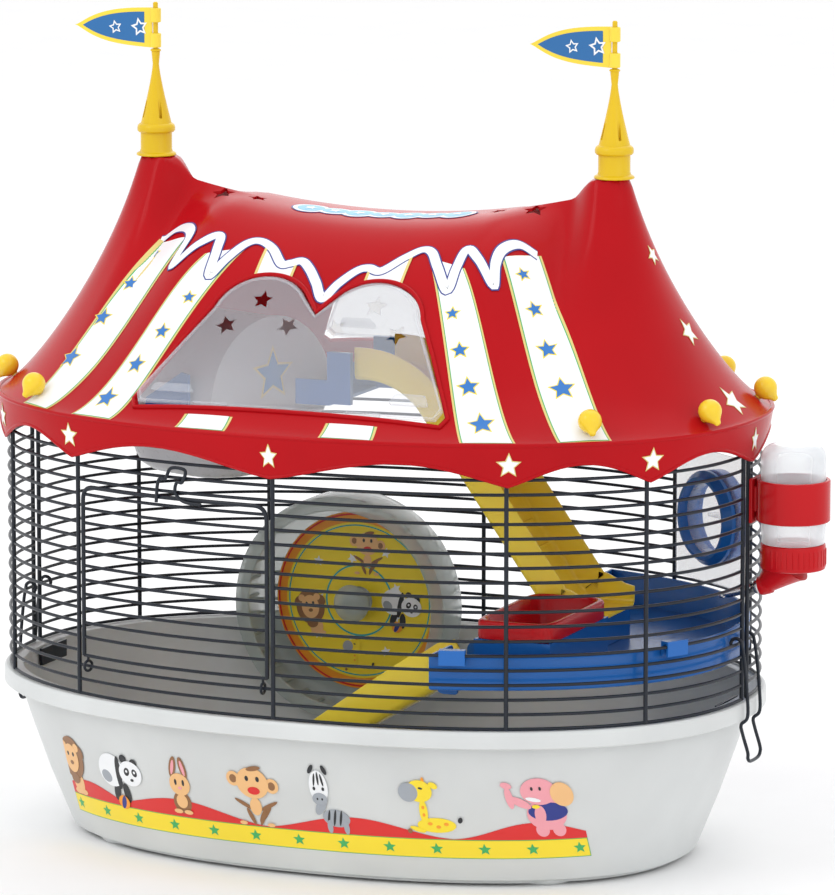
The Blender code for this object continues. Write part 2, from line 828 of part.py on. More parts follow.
def make_flag(name, x):
    """A leaf-shaped pennant with two sleeves round the pole."""
    top = peak_z + gap + spire_height - 4 * mm
    mid = top - flag_height / 2
    reach = flag_length
    half = flag_height / 2
    outline = [
        (-2.4 * mm, half - 1 * mm),
        (-2.4 * mm, -half + 1 * mm),
        (-0.35 * reach, -half * 0.86),
        (-0.72 * reach, -half * 0.6),
        (-reach, 0),
        (-0.72 * reach, half * 0.66),
        (-0.35 * reach, half * 0.92),
    ]
    frame = Matrix.Translation((x, 0, mid)) @ Matrix.Rotation(math.radians(90), 4, "X")
    flag = place(outline_mesh(outline, flag_thick, frame), name, flag_film)
    for low, high in ((mid - half, mid - half + 9 * mm), (mid + half - 9 * mm, mid + half)):
        sleeve = cylinder_mesh((x, 0, low), (x, 0, high), pole_radius + 1.9 * mm, sides=12)
        flag = boolean(flag, helper(sleeve), "UNION")
    bore = cylinder_mesh((x, 0, mid - flag_height), (x, 0, mid + flag_height), pole_radius + sleeve_clear, sides=12)
    flag = boolean(flag, helper(bore), "DIFFERENCE")
    set_pivot(flag, (x, 0, mid))


def bulb_angles():
    """Halfway between the uprights, at both sides of each corner upright."""
    ends = post_angles() + [2 * math.pi]
    return [(ends[i] + ends[i + 1]) / 2 for i in (0, 1, 4, 5, 6, 7, 10, 11)]


def make_bulbs():
    for number, angle in enumerate(bulb_angles(), 1):
        run, step = 0.9, 0.002
        here, beside, below = roof_points(np.array([angle, angle + step, angle]), np.array([run, run, run + step]))
        normal = Vector(np.cross(below - here, beside - here)).normalized()
        spot = Vector(here) + normal * (bulb_radius + 0.6 * mm)
        r = bulb_radius
        ball = [(r * math.sin(t), r * math.cos(t)) for t in np.radians([0, 35, 70, 105, 135])]
        tail = [(0.24 * r, -1.35 * r), (0, -1.4 * r)]
        away = Vector((normal.x, normal.y, 0)).normalized()
        turned(f"bulb_{number}", ball + tail, yellow, 10, axis_frame(spot, Vector((0, 0, 1)) - away * 0.9))


# ---------------------------------------------------------------- upper level


def nest_frame():
    return Matrix.Translation((nest_x, nest_y, 0)) @ Matrix.Rotation(nest_turn, 4, "Z")


def make_nest_bowl():
    """The hanging lower half of the nest: a shallow rounded bowl with a flat rim."""
    angles = np.linspace(0, 2 * math.pi, 25)[:-1]
    lip = 4 * mm
    outer = [
        (0.45, -1.0),
        (0.74, -0.93),
        (0.9, -0.66),
        (0.97, -0.3),
    ]
    rings = []

    def ring(half_x, half_y, z):
        x, y = plan(angles, half_x, half_y, 3)
        rings.append(np.stack([x, y, np.full_like(x, z)], 1))

    for share, down in outer:
        ring(nest_half_length * share, nest_half_width * share, nest_rim_z + nest_deep * down)
    ring(nest_half_length, nest_half_width, nest_rim_z - sheet)
    ring(nest_half_length + lip, nest_half_width + lip, nest_rim_z - sheet)
    ring(nest_half_length + lip, nest_half_width + lip, nest_rim_z)
    ring(nest_half_length - sheet, nest_half_width - sheet, nest_rim_z)
    for share, down in reversed(outer):
        z = nest_rim_z + nest_deep * down + (sheet if down > -0.9 else 1.3 * sheet)
        ring(nest_half_length * share - sheet, nest_half_width * share - sheet, z)
    bowl = place(loft_mesh("nest_bowl", rings), "nest_bowl", milky)
    bowl.matrix_world = nest_frame()


def make_nest_house():
    """A half-barrel cover over the bowl, closed at the front by a face and at the back by its own round."""
    r, legs = house_radius, house_leg
    front = nest_half_length - 6 * mm
    base = nest_rim_z + gap

    def arch(radius, x, z_low):
        turns = np.radians(np.linspace(0, 180, 17))
        points = [(x, radius, z_low)]
        points += [(x, radius * math.cos(t), base + legs + radius * math.sin(t)) for t in turns]
        return np.array(points + [(x, -radius, z_low)])

    outer_back = front - house_length
    rings = [
        arch(r * 0.8, outer_back, base),
        arch(r * 0.95, outer_back + 6 * mm, base),
        arch(r, outer_back + 16 * mm, base),
        arch(r, front, base),
    ]
    house = place(loft_mesh("nest_house", rings), "nest_house", milky)
    inside = [
        arch(r * 0.8 - sheet, outer_back + sheet, base - 5 * mm),
        arch(r * 0.95 - sheet, outer_back + 6 * mm + sheet, base - 5 * mm),
        arch(r - sheet, outer_back + 16 * mm, base - 5 * mm),
        arch(r - sheet, front - sheet, base - 5 * mm),
    ]
    house = boolean(house, helper(loft_mesh("inside", inside)), "DIFFERENCE")
    mouth = base + house_door + 4 * mm
    door_x = front - 36 * mm
    hole = cylinder_mesh((door_x, 0, mouth), (door_x, 2 * r, mouth), house_door, sides=16)
    house = boolean(house, helper(hole), "DIFFERENCE")
    house.matrix_world = nest_frame()


def make_nest_wall():
    """The blue cheek beside the house."""
    base = nest_rim_z + gap
    outline = [(-10, 0), (30, 0), (30, 30), (24, 31), (4, 19), (-8, 12)]
    frame = nest_frame() @ Matrix.Translation((0, -nest_half_width - 1 * mm, base))
    frame = frame @ Matrix.Rotation(math.radians(90), 4, "X")
    place(outline_mesh([(x * mm, y * mm) for x, y in outline], sheet, frame), "nest_side_wall", blue)


def make_upper_shelf():
    """The blue step between the nest and the slide, with two posts that hold the slide's head."""
    left, right = -50 * mm, slide_top_x - gap
    near, far = slide_y - 6 * mm, slide_y + slide_width + 6 * mm
    floor = nest_rim_z + 10 * mm
    outer = box_mesh((left, near, floor), (right - 14 * mm, far, floor + 16 * mm))
    shelf = place(outer, "upper_shelf", blue)
    inner = box_mesh((left - sheet, near + sheet, floor + sheet), (right, far - sheet, floor + 40 * mm))
    shelf = boolean(shelf, helper(inner), "DIFFERENCE")
    for low, high in ((near, near + 4 * mm), (far - 4 * mm, far)):
        post = box_mesh((right - 16 * mm, low, floor + 1 * mm), (right, high, floor + 34 * mm))
        shelf = boolean(shelf, helper(post), "UNION")
    return shelf


# ---------------------------------------------------------------- channels


def channel_mesh(name, path, near_y, width, walls, thick):
    """A U-shaped channel swept along (x, z) points. walls is the wall height at each point."""
    path = np.array(path)
    tangent = np.gradient(path, axis=0)
    tangent /= np.linalg.norm(tangent, axis=1)[:, None]
    normal = np.stack([-tangent[:, 1], tangent[:, 0]], 1)
    normal *= np.sign(normal[:, 1])[:, None]
    rings = []
    far_y = near_y + width
    for (x, z), n, tall in zip(path, normal, walls):
        section = [
            (near_y, tall),
            (near_y, 0),
            (far_y, 0),
            (far_y, tall),
            (far_y - thick, tall),
            (far_y - thick, thick),
            (near_y + thick, thick),
            (near_y + thick, tall),
        ]
        rings.append(np.array([(x + n[0] * h, y, z + n[1] * h) for y, h in section]))
    return loft_mesh(name, rings)


def arc_points(centre, radius, start, end, count):
    turns = np.radians(np.linspace(start, end, count))
    return [(centre[0] + radius * math.cos(t), centre[1] + radius * math.sin(t)) for t in turns]


def platform_x():
    return wire_a - platform_reach


def landing_x():
    return platform_x() + 16 * mm


def make_upper_slide():
    """Level at its head, then bent down to its run, and bent out again at its foot."""
    head = (slide_top_x, slide_top_z)
    foot = (landing_x() + 40 * mm, landing_z + gap)
    bend, flare = 46 * mm, 16 * mm
    steep = math.radians(53)
    top_centre = (head[0] + 6 * mm, head[1] - bend)
    top_arc = arc_points(top_centre, bend, 90, 90 - math.degrees(steep), 7)
    run_x = foot[0] - 24 * mm - flare * math.sin(steep)
    low_centre = (foot[0] - 24 * mm, foot[1] + flare)
    low_arc = arc_points(low_centre, flare, 270 - math.degrees(steep), 270, 5)
    path = [head] + top_arc + low_arc + [foot]
    walls = [slide_wall] * (len(path) - 1) + [slide_wall * 0.62]
    mesh = channel_mesh("upper_slide", path, slide_y, slide_width, walls, 1.6 * mm)
    place(mesh, "upper_slide", slide_yellow)


def ramp_pivot():
    return (platform_x() - 4 * mm, platform_floor_z - 4 * mm)


def make_lower_ramp():
    px, pz = ramp_pivot()
    floor = foot_height + tray_wall + 1.2 * mm
    drop = pz - floor
    run = px - ramp_foot_x
    share = np.linspace(0.013, 1, 9)
    path = [(px - run * s, pz - drop * s) for s in share]
    walls = ramp_wall * (1 - 0.72 * share**1.3)
    mesh = channel_mesh("lower_ramp", path, ramp_y, ramp_width, walls, 1.8 * mm)
    ramp = place(mesh, "lower_ramp", slide_yellow)
    boss = cylinder_mesh((px, ramp_y, pz), (px, ramp_y + ramp_width, pz), ramp_pin_radius + 2 * mm, sides=12)
    ramp = boolean(ramp, helper(boss), "UNION")
    reach = 20 * mm
    bore = cylinder_mesh(
        (px, ramp_y - reach, pz), (px, ramp_y + ramp_width + reach, pz), ramp_pin_radius + gap, sides=12
    )
    ramp = boolean(ramp, helper(bore), "DIFFERENCE")
    set_pivot(ramp, (px, ramp_y, pz))
    ends = [(px, ramp_y - 3.6 * mm, pz), (px, ramp_y + ramp_width + 3.6 * mm, pz)]
    pin = place(cylinder_mesh(*ends, ramp_pin_radius, sides=12), "ramp_pin", slide_yellow)
    set_pivot(pin, (px, ramp_y, pz))


def make_platform():
    """A shallow blue tray that fills the bottle end of the cage, open towards the ramp."""
    a, b = wire_a - platform_inset, wire_b - platform_inset
    start = plan_angle(platform_x(), a)
    angles = np.linspace(-start, start, 25)
    x, y = plan(angles, a, b)
    x[0] = x[-1] = platform_x()
    top = platform_front_z + (platform_rear_z - platform_front_z) * smooth_step(-60 * mm, 110 * mm, y)

    def ring(inset, z):
        shrink_x = np.maximum(x * (a - inset) / a, platform_x() + inset)
        return np.stack([shrink_x, y * (b - inset) / b, np.broadcast_to(z, x.shape)], 1)

    rings = [
        ring(0, platform_floor_z),
        ring(0, top),
        ring(sheet, top),
        ring(sheet, platform_floor_z + sheet),
    ]
    platform = place(loft_mesh("platform", rings), "platform", blue)
    opening = box_mesh(
        (platform_x() - 5 * mm, ramp_y - 0.5 * mm, platform_floor_z + sheet + gap),
        (platform_x() + 5 * mm, b - 30 * mm, platform_rear_z + 5 * mm),
    )
    platform = boolean(platform, helper(opening), "DIFFERENCE")
    px, pz = ramp_pivot()
    for y_low in (ramp_y - 2.6 * mm, ramp_y + ramp_width + 0.6 * mm):
        ear = box_mesh(
            (px - 7 * mm, y_low, pz - 6 * mm), (platform_x() + 3 * mm, y_low + 2 * mm, platform_floor_z + 14 * mm)
        )
        platform = boolean(platform, helper(ear), "UNION")
        hole = cylinder_mesh(
            (px, y_low - 5 * mm, pz), (px, y_low + 7 * mm, pz), ramp_pin_radius + gap, sides=12
        )
        platform = boolean(platform, helper(hole), "DIFFERENCE")
    return platform


def make_platform_hook(name, spot, normal):
    """A small blue hook over one wall wire, carrying the platform."""
    across = normal.cross(Vector((0, 0, 1)))
    turn = Matrix((across, normal, Vector((0, 0, 1)))).transposed().to_4x4()
    frame = Matrix.Translation(spot) @ turn
    half = wire_thick / 2 + 0.7 * mm
    wall = 1.6 * mm
    hook = box_mesh((-8 * mm, -half - wall, -6 * mm), (8 * mm, half + wall, half + wall))
    slot = box_mesh((-11 * mm, -half, -10 * mm), (11 * mm, half, half))
    for mesh in (hook, slot):
        mesh.transform(frame)
    made = place(hook, name, blue)
    return boolean(made, helper(slot), "DIFFERENCE")


def bowl_box():
    """The food bowl's outline (low x, low y, high x, high y)."""
    x = landing_x() - 2 * mm
    far = slide_y - 2 * mm - gap
    return x, far - bowl_length, x + bowl_width, far


def make_bowl_stand():
    x0, y0, x1, y1 = bowl_box()
    low = platform_floor_z + sheet + gap
    high = bowl_top_z - bowl_lip - gap
    stand = place(box_mesh((x0 + 1 * mm, y0 + 1 * mm, low), (x1 - 1 * mm, y1 - 1 * mm, high)), "bowl_stand", blue)
    inset = 1 * mm + sheet
    pocket = box_mesh((x0 + inset, y0 + inset, low + sheet), (x1 - inset, y1 - inset, high + 5 * mm))
    return boolean(stand, helper(pocket), "DIFFERENCE")


def make_food_bowl():
    """A red tray with a deep lip that sits over its stand."""
    x0, y0, x1, y1 = bowl_box()
    cx, cy = (x0 + x1) / 2, (y0 + y1) / 2
    half_x, half_y = bowl_width / 2, bowl_length / 2
    angles = np.linspace(0, 2 * math.pi, 33)[:-1]
    lip_low = bowl_top_z - bowl_lip
    inset = 1 * mm + sheet + gap

    def ring(step, z, power=9):
        x, y = plan(angles, half_x - step, half_y - step, power)
        return np.stack([cx + x, cy + y, np.full_like(x, z)], 1)

    deep = bowl_top_z - bowl_deep
    rings = [
        ring(inset + 4 * mm, deep - sheet),
        ring(inset + 1 * mm, deep + 1 * mm),
        ring(inset + 0.2 * mm, lip_low),
        ring(0, lip_low),
        ring(0, bowl_top_z - 1 * mm),
        ring(1 * mm, bowl_top_z),
        ring(inset + 1.5 * mm, bowl_top_z - 1 * mm),
        ring(inset + sheet + 1.5 * mm, deep + 3 * mm),
        ring(inset + sheet + 5 * mm, deep),
    ]
    place(loft_mesh("food_bowl", rings), "food_bowl", red)


def make_landing_block():
    x0 = landing_x()
    low = platform_floor_z + sheet + gap
    block = box_mesh(
        (x0, slide_y + 3 * mm, low), (x0 + 38 * mm, slide_y + slide_width - 3 * mm, landing_z - 0.4 * mm)
    )
    block = place(block, "landing_block", blue)
    hollow = box_mesh(
        (x0 - 5 * mm, slide_y + 3 * mm + sheet, low - 1 * mm),
        (x0 + 38 * mm - sheet, slide_y + slide_width - 3 * mm - sheet, landing_z - 0.4 * mm - sheet),
    )
    return boolean(block, helper(hollow), "DIFFERENCE")


# ---------------------------------------------------------------- wheel


def wheel_back_y():
    """As far back as the curved wires and the tray's sloping wall let the drum stand."""
    tightest = max(abs(wheel_x - wheel_radius), abs(wheel_x + wheel_radius))
    limits = [plan_y(tightest, wire_a, wire_b) - wire_thick - wheel_wall_gap]
    wall = tray_wall_line()
    turn = np.linspace(0, 2 * math.pi, 73)
    for radius, ahead in ((wheel_radius - wheel_bevel_in, 0), (wheel_radius, wheel_bevel_deep)):
        x, z = wheel_x + radius * np.cos(turn), wheel_z + radius * np.sin(turn)
        inset = np.interp(z, [height for _, height in wall], [step for step, _ in wall]) + tray_wall
        sloping = plan_y(x, tray_length / 2 - inset, tray_depth / 2 - inset) + ahead
        limits.append(sloping[z < rim_z].min() - wheel_tray_gap)
    return min(limits)


def make_wheel():
    back = wheel_back_y()
    depth, r = wheel_depth, wheel_radius
    wall = 2.2 * mm
    hub = 8 * mm
    bore = axle_radius + axle_clear
    # Heights run from the back (0) to the open front (depth).
    profile = [
        (bore, depth * 0.42),
        (hub, depth * 0.42),
        (hub, wall + 0.5 * mm),
        (r - wall - 9 * mm, wall),
        (r - wall, wall + 6 * mm),
        (r - wall, depth - wall),
        (r - 10 * mm, depth - wall),
        (r - 10 * mm, depth),
        (r, depth),
        (r, wheel_bevel_deep),
        (r - wheel_bevel_in, 0),
        (bore, 0),
        (bore, depth * 0.42),
    ]
    frame = axis_frame((wheel_x, back, wheel_z), (0, -1, 0))
    drum = turned("wheel_drum", profile, smoke, 32, frame)
    set_pivot(drum, (wheel_x, back, wheel_z))
    cap_y = back - depth * 0.42 - gap
    cap_profile = [(0, 5 * mm), (6 * mm, 5 * mm), (9 * mm, 3.4 * mm), (12.5 * mm, 0.8 * mm), (12.5 * mm, 0), (0, 0)]
    cap = turned("wheel_cap", cap_profile, smoke, 24, axis_frame((wheel_x, cap_y, wheel_z), (0, -1, 0)))
    set_pivot(cap, (wheel_x, back, wheel_z))


def make_wheel_mount():
    back = wheel_back_y()
    half = 10 * mm
    wall = plan_y(abs(wheel_x) + half, wire_a, wire_b) - wire_thick / 2 - 2.4 * mm
    start = back + 1.2 * mm
    plate = box_mesh((wheel_x - half, wall - 3 * mm, rim_z + 3 * mm), (wheel_x + half, wall, wheel_z + 32 * mm))
    bracket = place(plate, "wheel_bracket", smoke)
    post = cylinder_mesh((wheel_x, start, wheel_z), (wheel_x, wall - 1 * mm, wheel_z), 9 * mm, 13 * mm, 20)
    bracket = boolean(bracket, helper(post), "UNION")
    bore = cylinder_mesh((wheel_x, start - 5 * mm, wheel_z), (wheel_x, wall - 8 * mm, wheel_z), axle_radius + gap)
    bracket = boolean(bracket, helper(bore), "DIFFERENCE")
    ends = [(wheel_x, back - wheel_depth * 0.42 + 1 * mm, wheel_z), (wheel_x, wall - 8.5 * mm, wheel_z)]
    place(cylinder_mesh(*ends, axle_radius), "wheel_axle", steel)


# ---------------------------------------------------------------- bottle


def bottle_x():
    return wire_a + bottle_gap + bottle_radius


def spout_line():
    """The point where the drinking tube crosses the wires, and its direction into the cage."""
    through = Vector((wire_a, bottle_y, row_z(spout_row) + wire_pitch / 2))
    return through, Vector((-math.cos(spout_tilt), 0, -math.sin(spout_tilt)))


def make_bottle():
    x, r = bottle_x(), bottle_radius
    low = bottle_cap_z + bottle_cap_height + gap
    wall = 1.5 * mm
    crown = 9 * mm
    turns = np.radians([90, 68, 45, 22, 0])
    dome = [(r - crown + crown * math.cos(t), bottle_top_z - crown + crown * math.sin(t)) for t in turns]
    inner = [(max(0, p - wall), z - wall) for p, z in dome]
    outer = [(0, bottle_top_z)] + dome[0:]
    profile = outer + [(r, low), (r - wall, low)] + list(reversed(inner)) + [(0, bottle_top_z - wall)]
    turned("bottle_flask", profile, clear, 24, Matrix.Translation((x, bottle_y, 0)))
    through, into = spout_line()
    cap_low, cap_high = bottle_cap_z, bottle_cap_z + bottle_cap_height
    cap = place(cylinder_mesh((x, bottle_y, cap_low), (x, bottle_y, cap_high), r, sides=24), "bottle_cap", red)
    nose_end = through - into * 10 * mm
    nose_start = Vector((x - 2 * mm, bottle_y, cap_low + 4 * mm))
    nose = cylinder_mesh(nose_start, nose_end, 15 * mm, 6 * mm, 20)
    cap = boolean(cap, helper(nose), "UNION")
    collar_end = nose_end + into * 3.3 * mm
    collar = cylinder_mesh(nose_end - into * 4 * mm, collar_end, 6.2 * mm, sides=16)
    cap = boolean(cap, helper(collar), "UNION")
    sleeve_from = collar_end + into * gap
    sleeve_to = through - into * 3.4 * mm
    place(cylinder_mesh(sleeve_from, sleeve_to, 4.4 * mm, sides=16), "spout_sleeve", steel)
    tube_from = sleeve_to + into * gap
    tube_to = through + into * (spout_reach - 2 * mm)
    place(cylinder_mesh(tube_from, tube_to, spout_radius, sides=12), "spout_tube", steel)
    work = bmesh.new()
    bmesh.ops.create_uvsphere(work, u_segments=10, v_segments=7, radius=spout_radius * 0.8)
    ball = bpy.data.meshes.new("ball")
    work.to_mesh(ball)
    work.free()
    ball.transform(Matrix.Translation(tube_to + into * (spout_radius * 0.8 + gap)))
    place(ball, "spout_ball", steel)


def make_bottle_holder():
    x, r = bottle_x(), bottle_radius
    low, high = bottle_top_z - 48 * mm, bottle_top_z - 22 * mm
    inner, outer = r + 0.4 * mm, r + 2.6 * mm
    profile = [(inner, high), (outer, high), (outer, low), (inner, low), (inner, high)]
    band = turned("bottle_holder", profile, red, 24, Matrix.Translation((x, bottle_y, 0)))
    wire_face = wire_a + post_out + post_thick / 2 + 0.4 * mm
    arm = box_mesh(
        (wire_face + 1 * mm, bottle_y - 7 * mm, low + 5 * mm), (x - r - 1 * mm, bottle_y + 7 * mm, high - 5 * mm)
    )
    band = boolean(band, helper(arm), "UNION")
    plate = box_mesh((wire_face, bottle_y - 10 * mm, low - 2 * mm), (wire_face + 2.2 * mm, bottle_y + 10 * mm, high))
    return boolean(band, helper(plate), "UNION")


# ---------------------------------------------------------------- tube port


def port_frame():
    """x along the wall's chord, y up and z outwards, at the centre of the port."""
    ends = [Vector((px, plan_y(px, wire_a, wire_b), 0)) for px in (side_post_x, corner_post_x)]
    across = (ends[0] - ends[1]).normalized()
    up = Vector((0, 0, 1))
    out = across.cross(up)
    turn = Matrix((across, up, out)).transposed().to_4x4()
    centre = (ends[0] + ends[1]) / 2 + Vector((0, 0, port_z))
    return Matrix.Translation(centre) @ turn, (ends[0] - ends[1]).length


def make_port():
    frame, chord = port_frame()
    margin = wire_thick / 2 + 1.4 * mm
    half_w = chord / 2 - margin - 0.8 * mm
    half_h = (row_z(port_high_row) - row_z(port_low_row)) / 2 - margin
    corner = 4 * mm
    outline = []
    for sx, sy, start in ((1, 1, 0), (-1, 1, 90), (-1, -1, 180), (1, -1, 270)):
        centre = (sx * (half_w - corner), sy * (half_h - corner))
        outline += arc_points(centre, corner, start, start + 90, 4)
    plate = place(outline_mesh(outline, 2 * mm, frame), "port_plate", clear)
    hole = cylinder_mesh((0, 0, -10 * mm), (0, 0, 10 * mm), port_hole, sides=32)
    hole.transform(frame)
    plate = boolean(plate, helper(hole), "DIFFERENCE")
    inner, sleeve, flange = port_hole - 2.6 * mm, port_hole - 0.4 * mm, port_hole + port_flange
    profile = [
        (inner, 9 * mm),
        (flange, 9 * mm),
        (flange, 1.4 * mm),
        (sleeve, 1.4 * mm),
        (sleeve, -1.4 * mm),
        (flange, -1.4 * mm),
        (flange, -5 * mm),
        (sleeve, -9 * mm),
        (inner, -9 * mm),
        (inner, 9 * mm),
    ]
    ring = turned("port_ring", profile, blue, 32, frame)
    set_pivot(ring, frame.translation)
    cap_r = inner - 0.35 * mm
    cap_profile = [
        (0, 5 * mm),
        (cap_r, 5 * mm),
        (cap_r, -3 * mm),
        (cap_r - 2 * mm, -3 * mm),
        (cap_r - 2 * mm, 3 * mm),
        (0, 3 * mm),
    ]
    cap = turned("port_cap", cap_profile, clear, 32, frame)
    grip = box_mesh((-12 * mm, -1.2 * mm, 4 * mm), (12 * mm, 1.2 * mm, 11 * mm))
    grip.transform(frame)
    cap = boolean(cap, helper(grip), "UNION")
    set_pivot(cap, frame.translation)


# ---------------------------------------------------------------- assembly

make_tray()
make_rim_catch("rim_catch_left", -1)
make_rim_catch("rim_catch_right", 1)
make_cage()
make_door()
make_clip("clip_left", -1)
make_clip("clip_right", 1)
make_roof_shell()
make_window("window_front", -1)
make_window("window_rear", 1)
for side, sign in (("left", -1), ("right", 1)):
    make_spire(f"spire_{side}", sign * peak_x)
    make_flag(f"flag_{side}", sign * peak_x)
make_bulbs()
make_nest_bowl()
make_nest_house()
make_nest_wall()
make_upper_shelf()
make_upper_slide()
make_platform()
make_platform_hook("platform_hook_front", *wire_spot(side_post_x, -1, row_z(5)))
make_platform_hook("platform_hook_end", *wire_spot(corner_post_x, 1, row_z(5)))
make_lower_ramp()
make_bowl_stand()
make_food_bowl()
make_landing_block()
make_wheel()
make_wheel_mount()
make_bottle()
make_bottle_holder()
make_port()
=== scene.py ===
import math

import bmesh
import bpy
import numpy as np
from mathutils import Matrix, Vector


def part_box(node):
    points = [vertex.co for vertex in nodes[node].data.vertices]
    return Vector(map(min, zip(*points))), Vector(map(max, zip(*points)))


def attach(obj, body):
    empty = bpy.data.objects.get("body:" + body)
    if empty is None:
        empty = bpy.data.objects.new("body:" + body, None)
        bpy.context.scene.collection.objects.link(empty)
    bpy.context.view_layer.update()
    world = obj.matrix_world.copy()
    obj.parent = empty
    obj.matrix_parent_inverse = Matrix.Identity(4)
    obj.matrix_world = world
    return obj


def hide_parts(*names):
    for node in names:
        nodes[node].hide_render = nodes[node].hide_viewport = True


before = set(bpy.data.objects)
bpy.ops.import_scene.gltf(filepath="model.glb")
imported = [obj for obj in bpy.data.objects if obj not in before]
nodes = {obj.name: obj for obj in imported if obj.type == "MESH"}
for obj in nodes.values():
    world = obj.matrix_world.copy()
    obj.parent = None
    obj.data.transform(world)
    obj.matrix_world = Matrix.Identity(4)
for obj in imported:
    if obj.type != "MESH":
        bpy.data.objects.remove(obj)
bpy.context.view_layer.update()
mm = 0.001
print("frame loaded with", len(nodes), "parts")

# Shared sizes of the cage
cage = {
    "length": 495 * mm, "depth": 345 * mm, "power": 2.25, "rimZ": 106.6 * mm,
    "wireInset": 4 * mm, "firstWireZ": 107.9 * mm, "pitch": 9 * mm, "rows": 18,
    "sidePostX": 143 * mm, "cornerPostX": 213.5 * mm,
}
wireA = cage["length"] / 2 - cage["wireInset"]
wireB = cage["depth"] / 2 - cage["wireInset"]


def rowZ(row):
    return cage["firstWireZ"] + row * cage["pitch"]


# A grid of rows by columns of points becomes quads. wrapU joins the last row to the first, wrapV the last
# column to the first
def grid(points, wrapU=False, wrapV=False):
    points = np.asarray(points, float)
    rows, cols = points.shape[:2]
    u = np.arange(rows if wrapU else rows - 1)
    v = np.arange(cols if wrapV else cols - 1)
    u, v = np.meshgrid(u, v, indexing="ij")
    un, vn = (u + 1) % rows, (v + 1) % cols
    faces = np.stack([u * cols + v, un * cols + v, un * cols + vn, u * cols + vn], -1)
    return points.reshape(-1, 3), faces.reshape(-1, 4)


# Several (points, quads) pairs as one
def joined(shapes):
    starts = np.cumsum([0] + [len(p) for p, f in shapes])
    faces = np.concatenate([f + start for (p, f), start in zip(shapes, starts)])
    return np.concatenate([p for p, f in shapes]), faces


# One mesh object out of several (points, quads) pairs: doubles merged, normals outwards, one material
def piece(name, shapes, material, body, stands=(), merge=1e-6, recalc=True):
    points, faces = joined(shapes)
    points, faces = points.astype(np.float32), faces.astype(np.int32)
    mesh = bpy.data.meshes.new(name)
    mesh.vertices.add(len(points))
    mesh.vertices.foreach_set("co", points.ravel())
    mesh.loops.add(faces.size)
    mesh.loops.foreach_set("vertex_index", faces.ravel())
    mesh.polygons.add(len(faces))
    mesh.polygons.foreach_set("loop_start", np.arange(0, faces.size, 4, dtype=np.int32))
    mesh.update(calc_edges=True)
    work = bmesh.new()
    work.from_mesh(mesh)
    bmesh.ops.remove_doubles(work, verts=work.verts, dist=merge)
    bmesh.ops.dissolve_degenerate(work, edges=work.edges, dist=merge / 10)
    if recalc:
        bmesh.ops.recalc_face_normals(work, faces=work.faces)
    work.to_mesh(mesh)
    work.free()
    mesh.materials.append(material)
    soften(mesh)
    obj = bpy.data.objects.new(name, mesh)
    bpy.context.scene.collection.objects.link(obj)
    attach(obj, body)
    if stands:
        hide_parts(*stands)
    return obj


# Smooth shading, with edges sharper than 35 degrees left sharp
def soften(mesh):
    mesh.shade_smooth()
    mesh.set_sharp_from_angle(angle=math.radians(35))


# Cuts or joins with a helper mesh, and leaves a plain mesh
def combine(obj, shapes, operation):
    points, faces = joined(shapes)
    mesh = bpy.data.meshes.new("helper")
    mesh.from_pydata(points.tolist(), [], faces.tolist())
    work = bmesh.new()
    work.from_mesh(mesh)
    bmesh.ops.remove_doubles(work, verts=work.verts, dist=1e-6)
    bmesh.ops.recalc_face_normals(work, faces=work.faces)
    work.to_mesh(mesh)
    work.free()
    helper = bpy.data.objects.new("helper", mesh)
    bpy.context.scene.collection.objects.link(helper)
    change = obj.modifiers.new("change", "BOOLEAN")
    change.operation, change.object, change.solver = operation, helper, "EXACT"
    bake(obj)
    bpy.data.objects.remove(helper, do_unlink=True)


# Applies the modifiers of an object
def bake(obj):
    bpy.context.view_layer.update()
    graph = bpy.context.evaluated_depsgraph_get()
    made = bpy.data.meshes.new_from_object(obj.evaluated_get(graph))
    obj.modifiers.clear()
    old = obj.data
    obj.data = made
    bpy.data.meshes.remove(old)
    soften(made)


# Gives an open sheet a thickness on the side away from its normals
def thicken(obj, thickness):
    wall = obj.modifiers.new("wall", "SOLIDIFY")
    wall.thickness, wall.offset = thickness, -1
    bake(obj)


# A path through the points: each stretch is a cubic whose slopes come from its neighbours
def smoothPath(points, steps=8, closed=False):
    p = np.asarray(points, float)
    ends = (p[-1:], p[:2]) if closed else (2 * p[:1] - p[1:2], 2 * p[-1:] - p[-2:-1])
    q = np.concatenate([ends[0], p, ends[1]])
    t = np.linspace(0, 1, steps + 1)[:-1, None, None]
    a, b, c, d = q[:-3], q[1:-2], q[2:-1], q[3:]
    run = 0.5 * (2 * b + (c - a) * t + (2 * a - 5 * b + 4 * c - d) * t**2 + (3 * b - a - 3 * c + d) * t**3)
    run = run.transpose(1, 0, 2).reshape(-1, p.shape[1])
    return run if closed else np.concatenate([run, p[-1:]])


# A round bar: a circle carried along the path, square to it. ref is a direction that is never along the path
def tube(path, radius, sides=10, ref=(0, 0, 1), closed=False):
    path = np.asarray(path, float)
    if closed:
        tangent = np.roll(path, -1, 0) - np.roll(path, 1, 0)
    else:
        tangent = np.gradient(path, axis=0)
    tangent /= np.linalg.norm(tangent, axis=1)[:, None]
    side = np.cross(tangent, np.asarray(ref, float))
    side /= np.linalg.norm(side, axis=1)[:, None]
    up = np.cross(side, tangent)
    turn = np.linspace(0, 2 * math.pi, sides, endpoint=False)
    radius = np.broadcast_to(radius, len(path))[:, None, None]
    ring = np.cos(turn)[None, :, None] * side[:, None] + np.sin(turn)[None, :, None] * up[:, None]
    points = path[:, None] + radius * ring
    if not closed:
        first = np.repeat(path[:1, None], sides, 1)
        last = np.repeat(path[-1:, None], sides, 1)
        points = np.concatenate([first, points, last])
    return grid(points, wrapU=closed, wrapV=True)


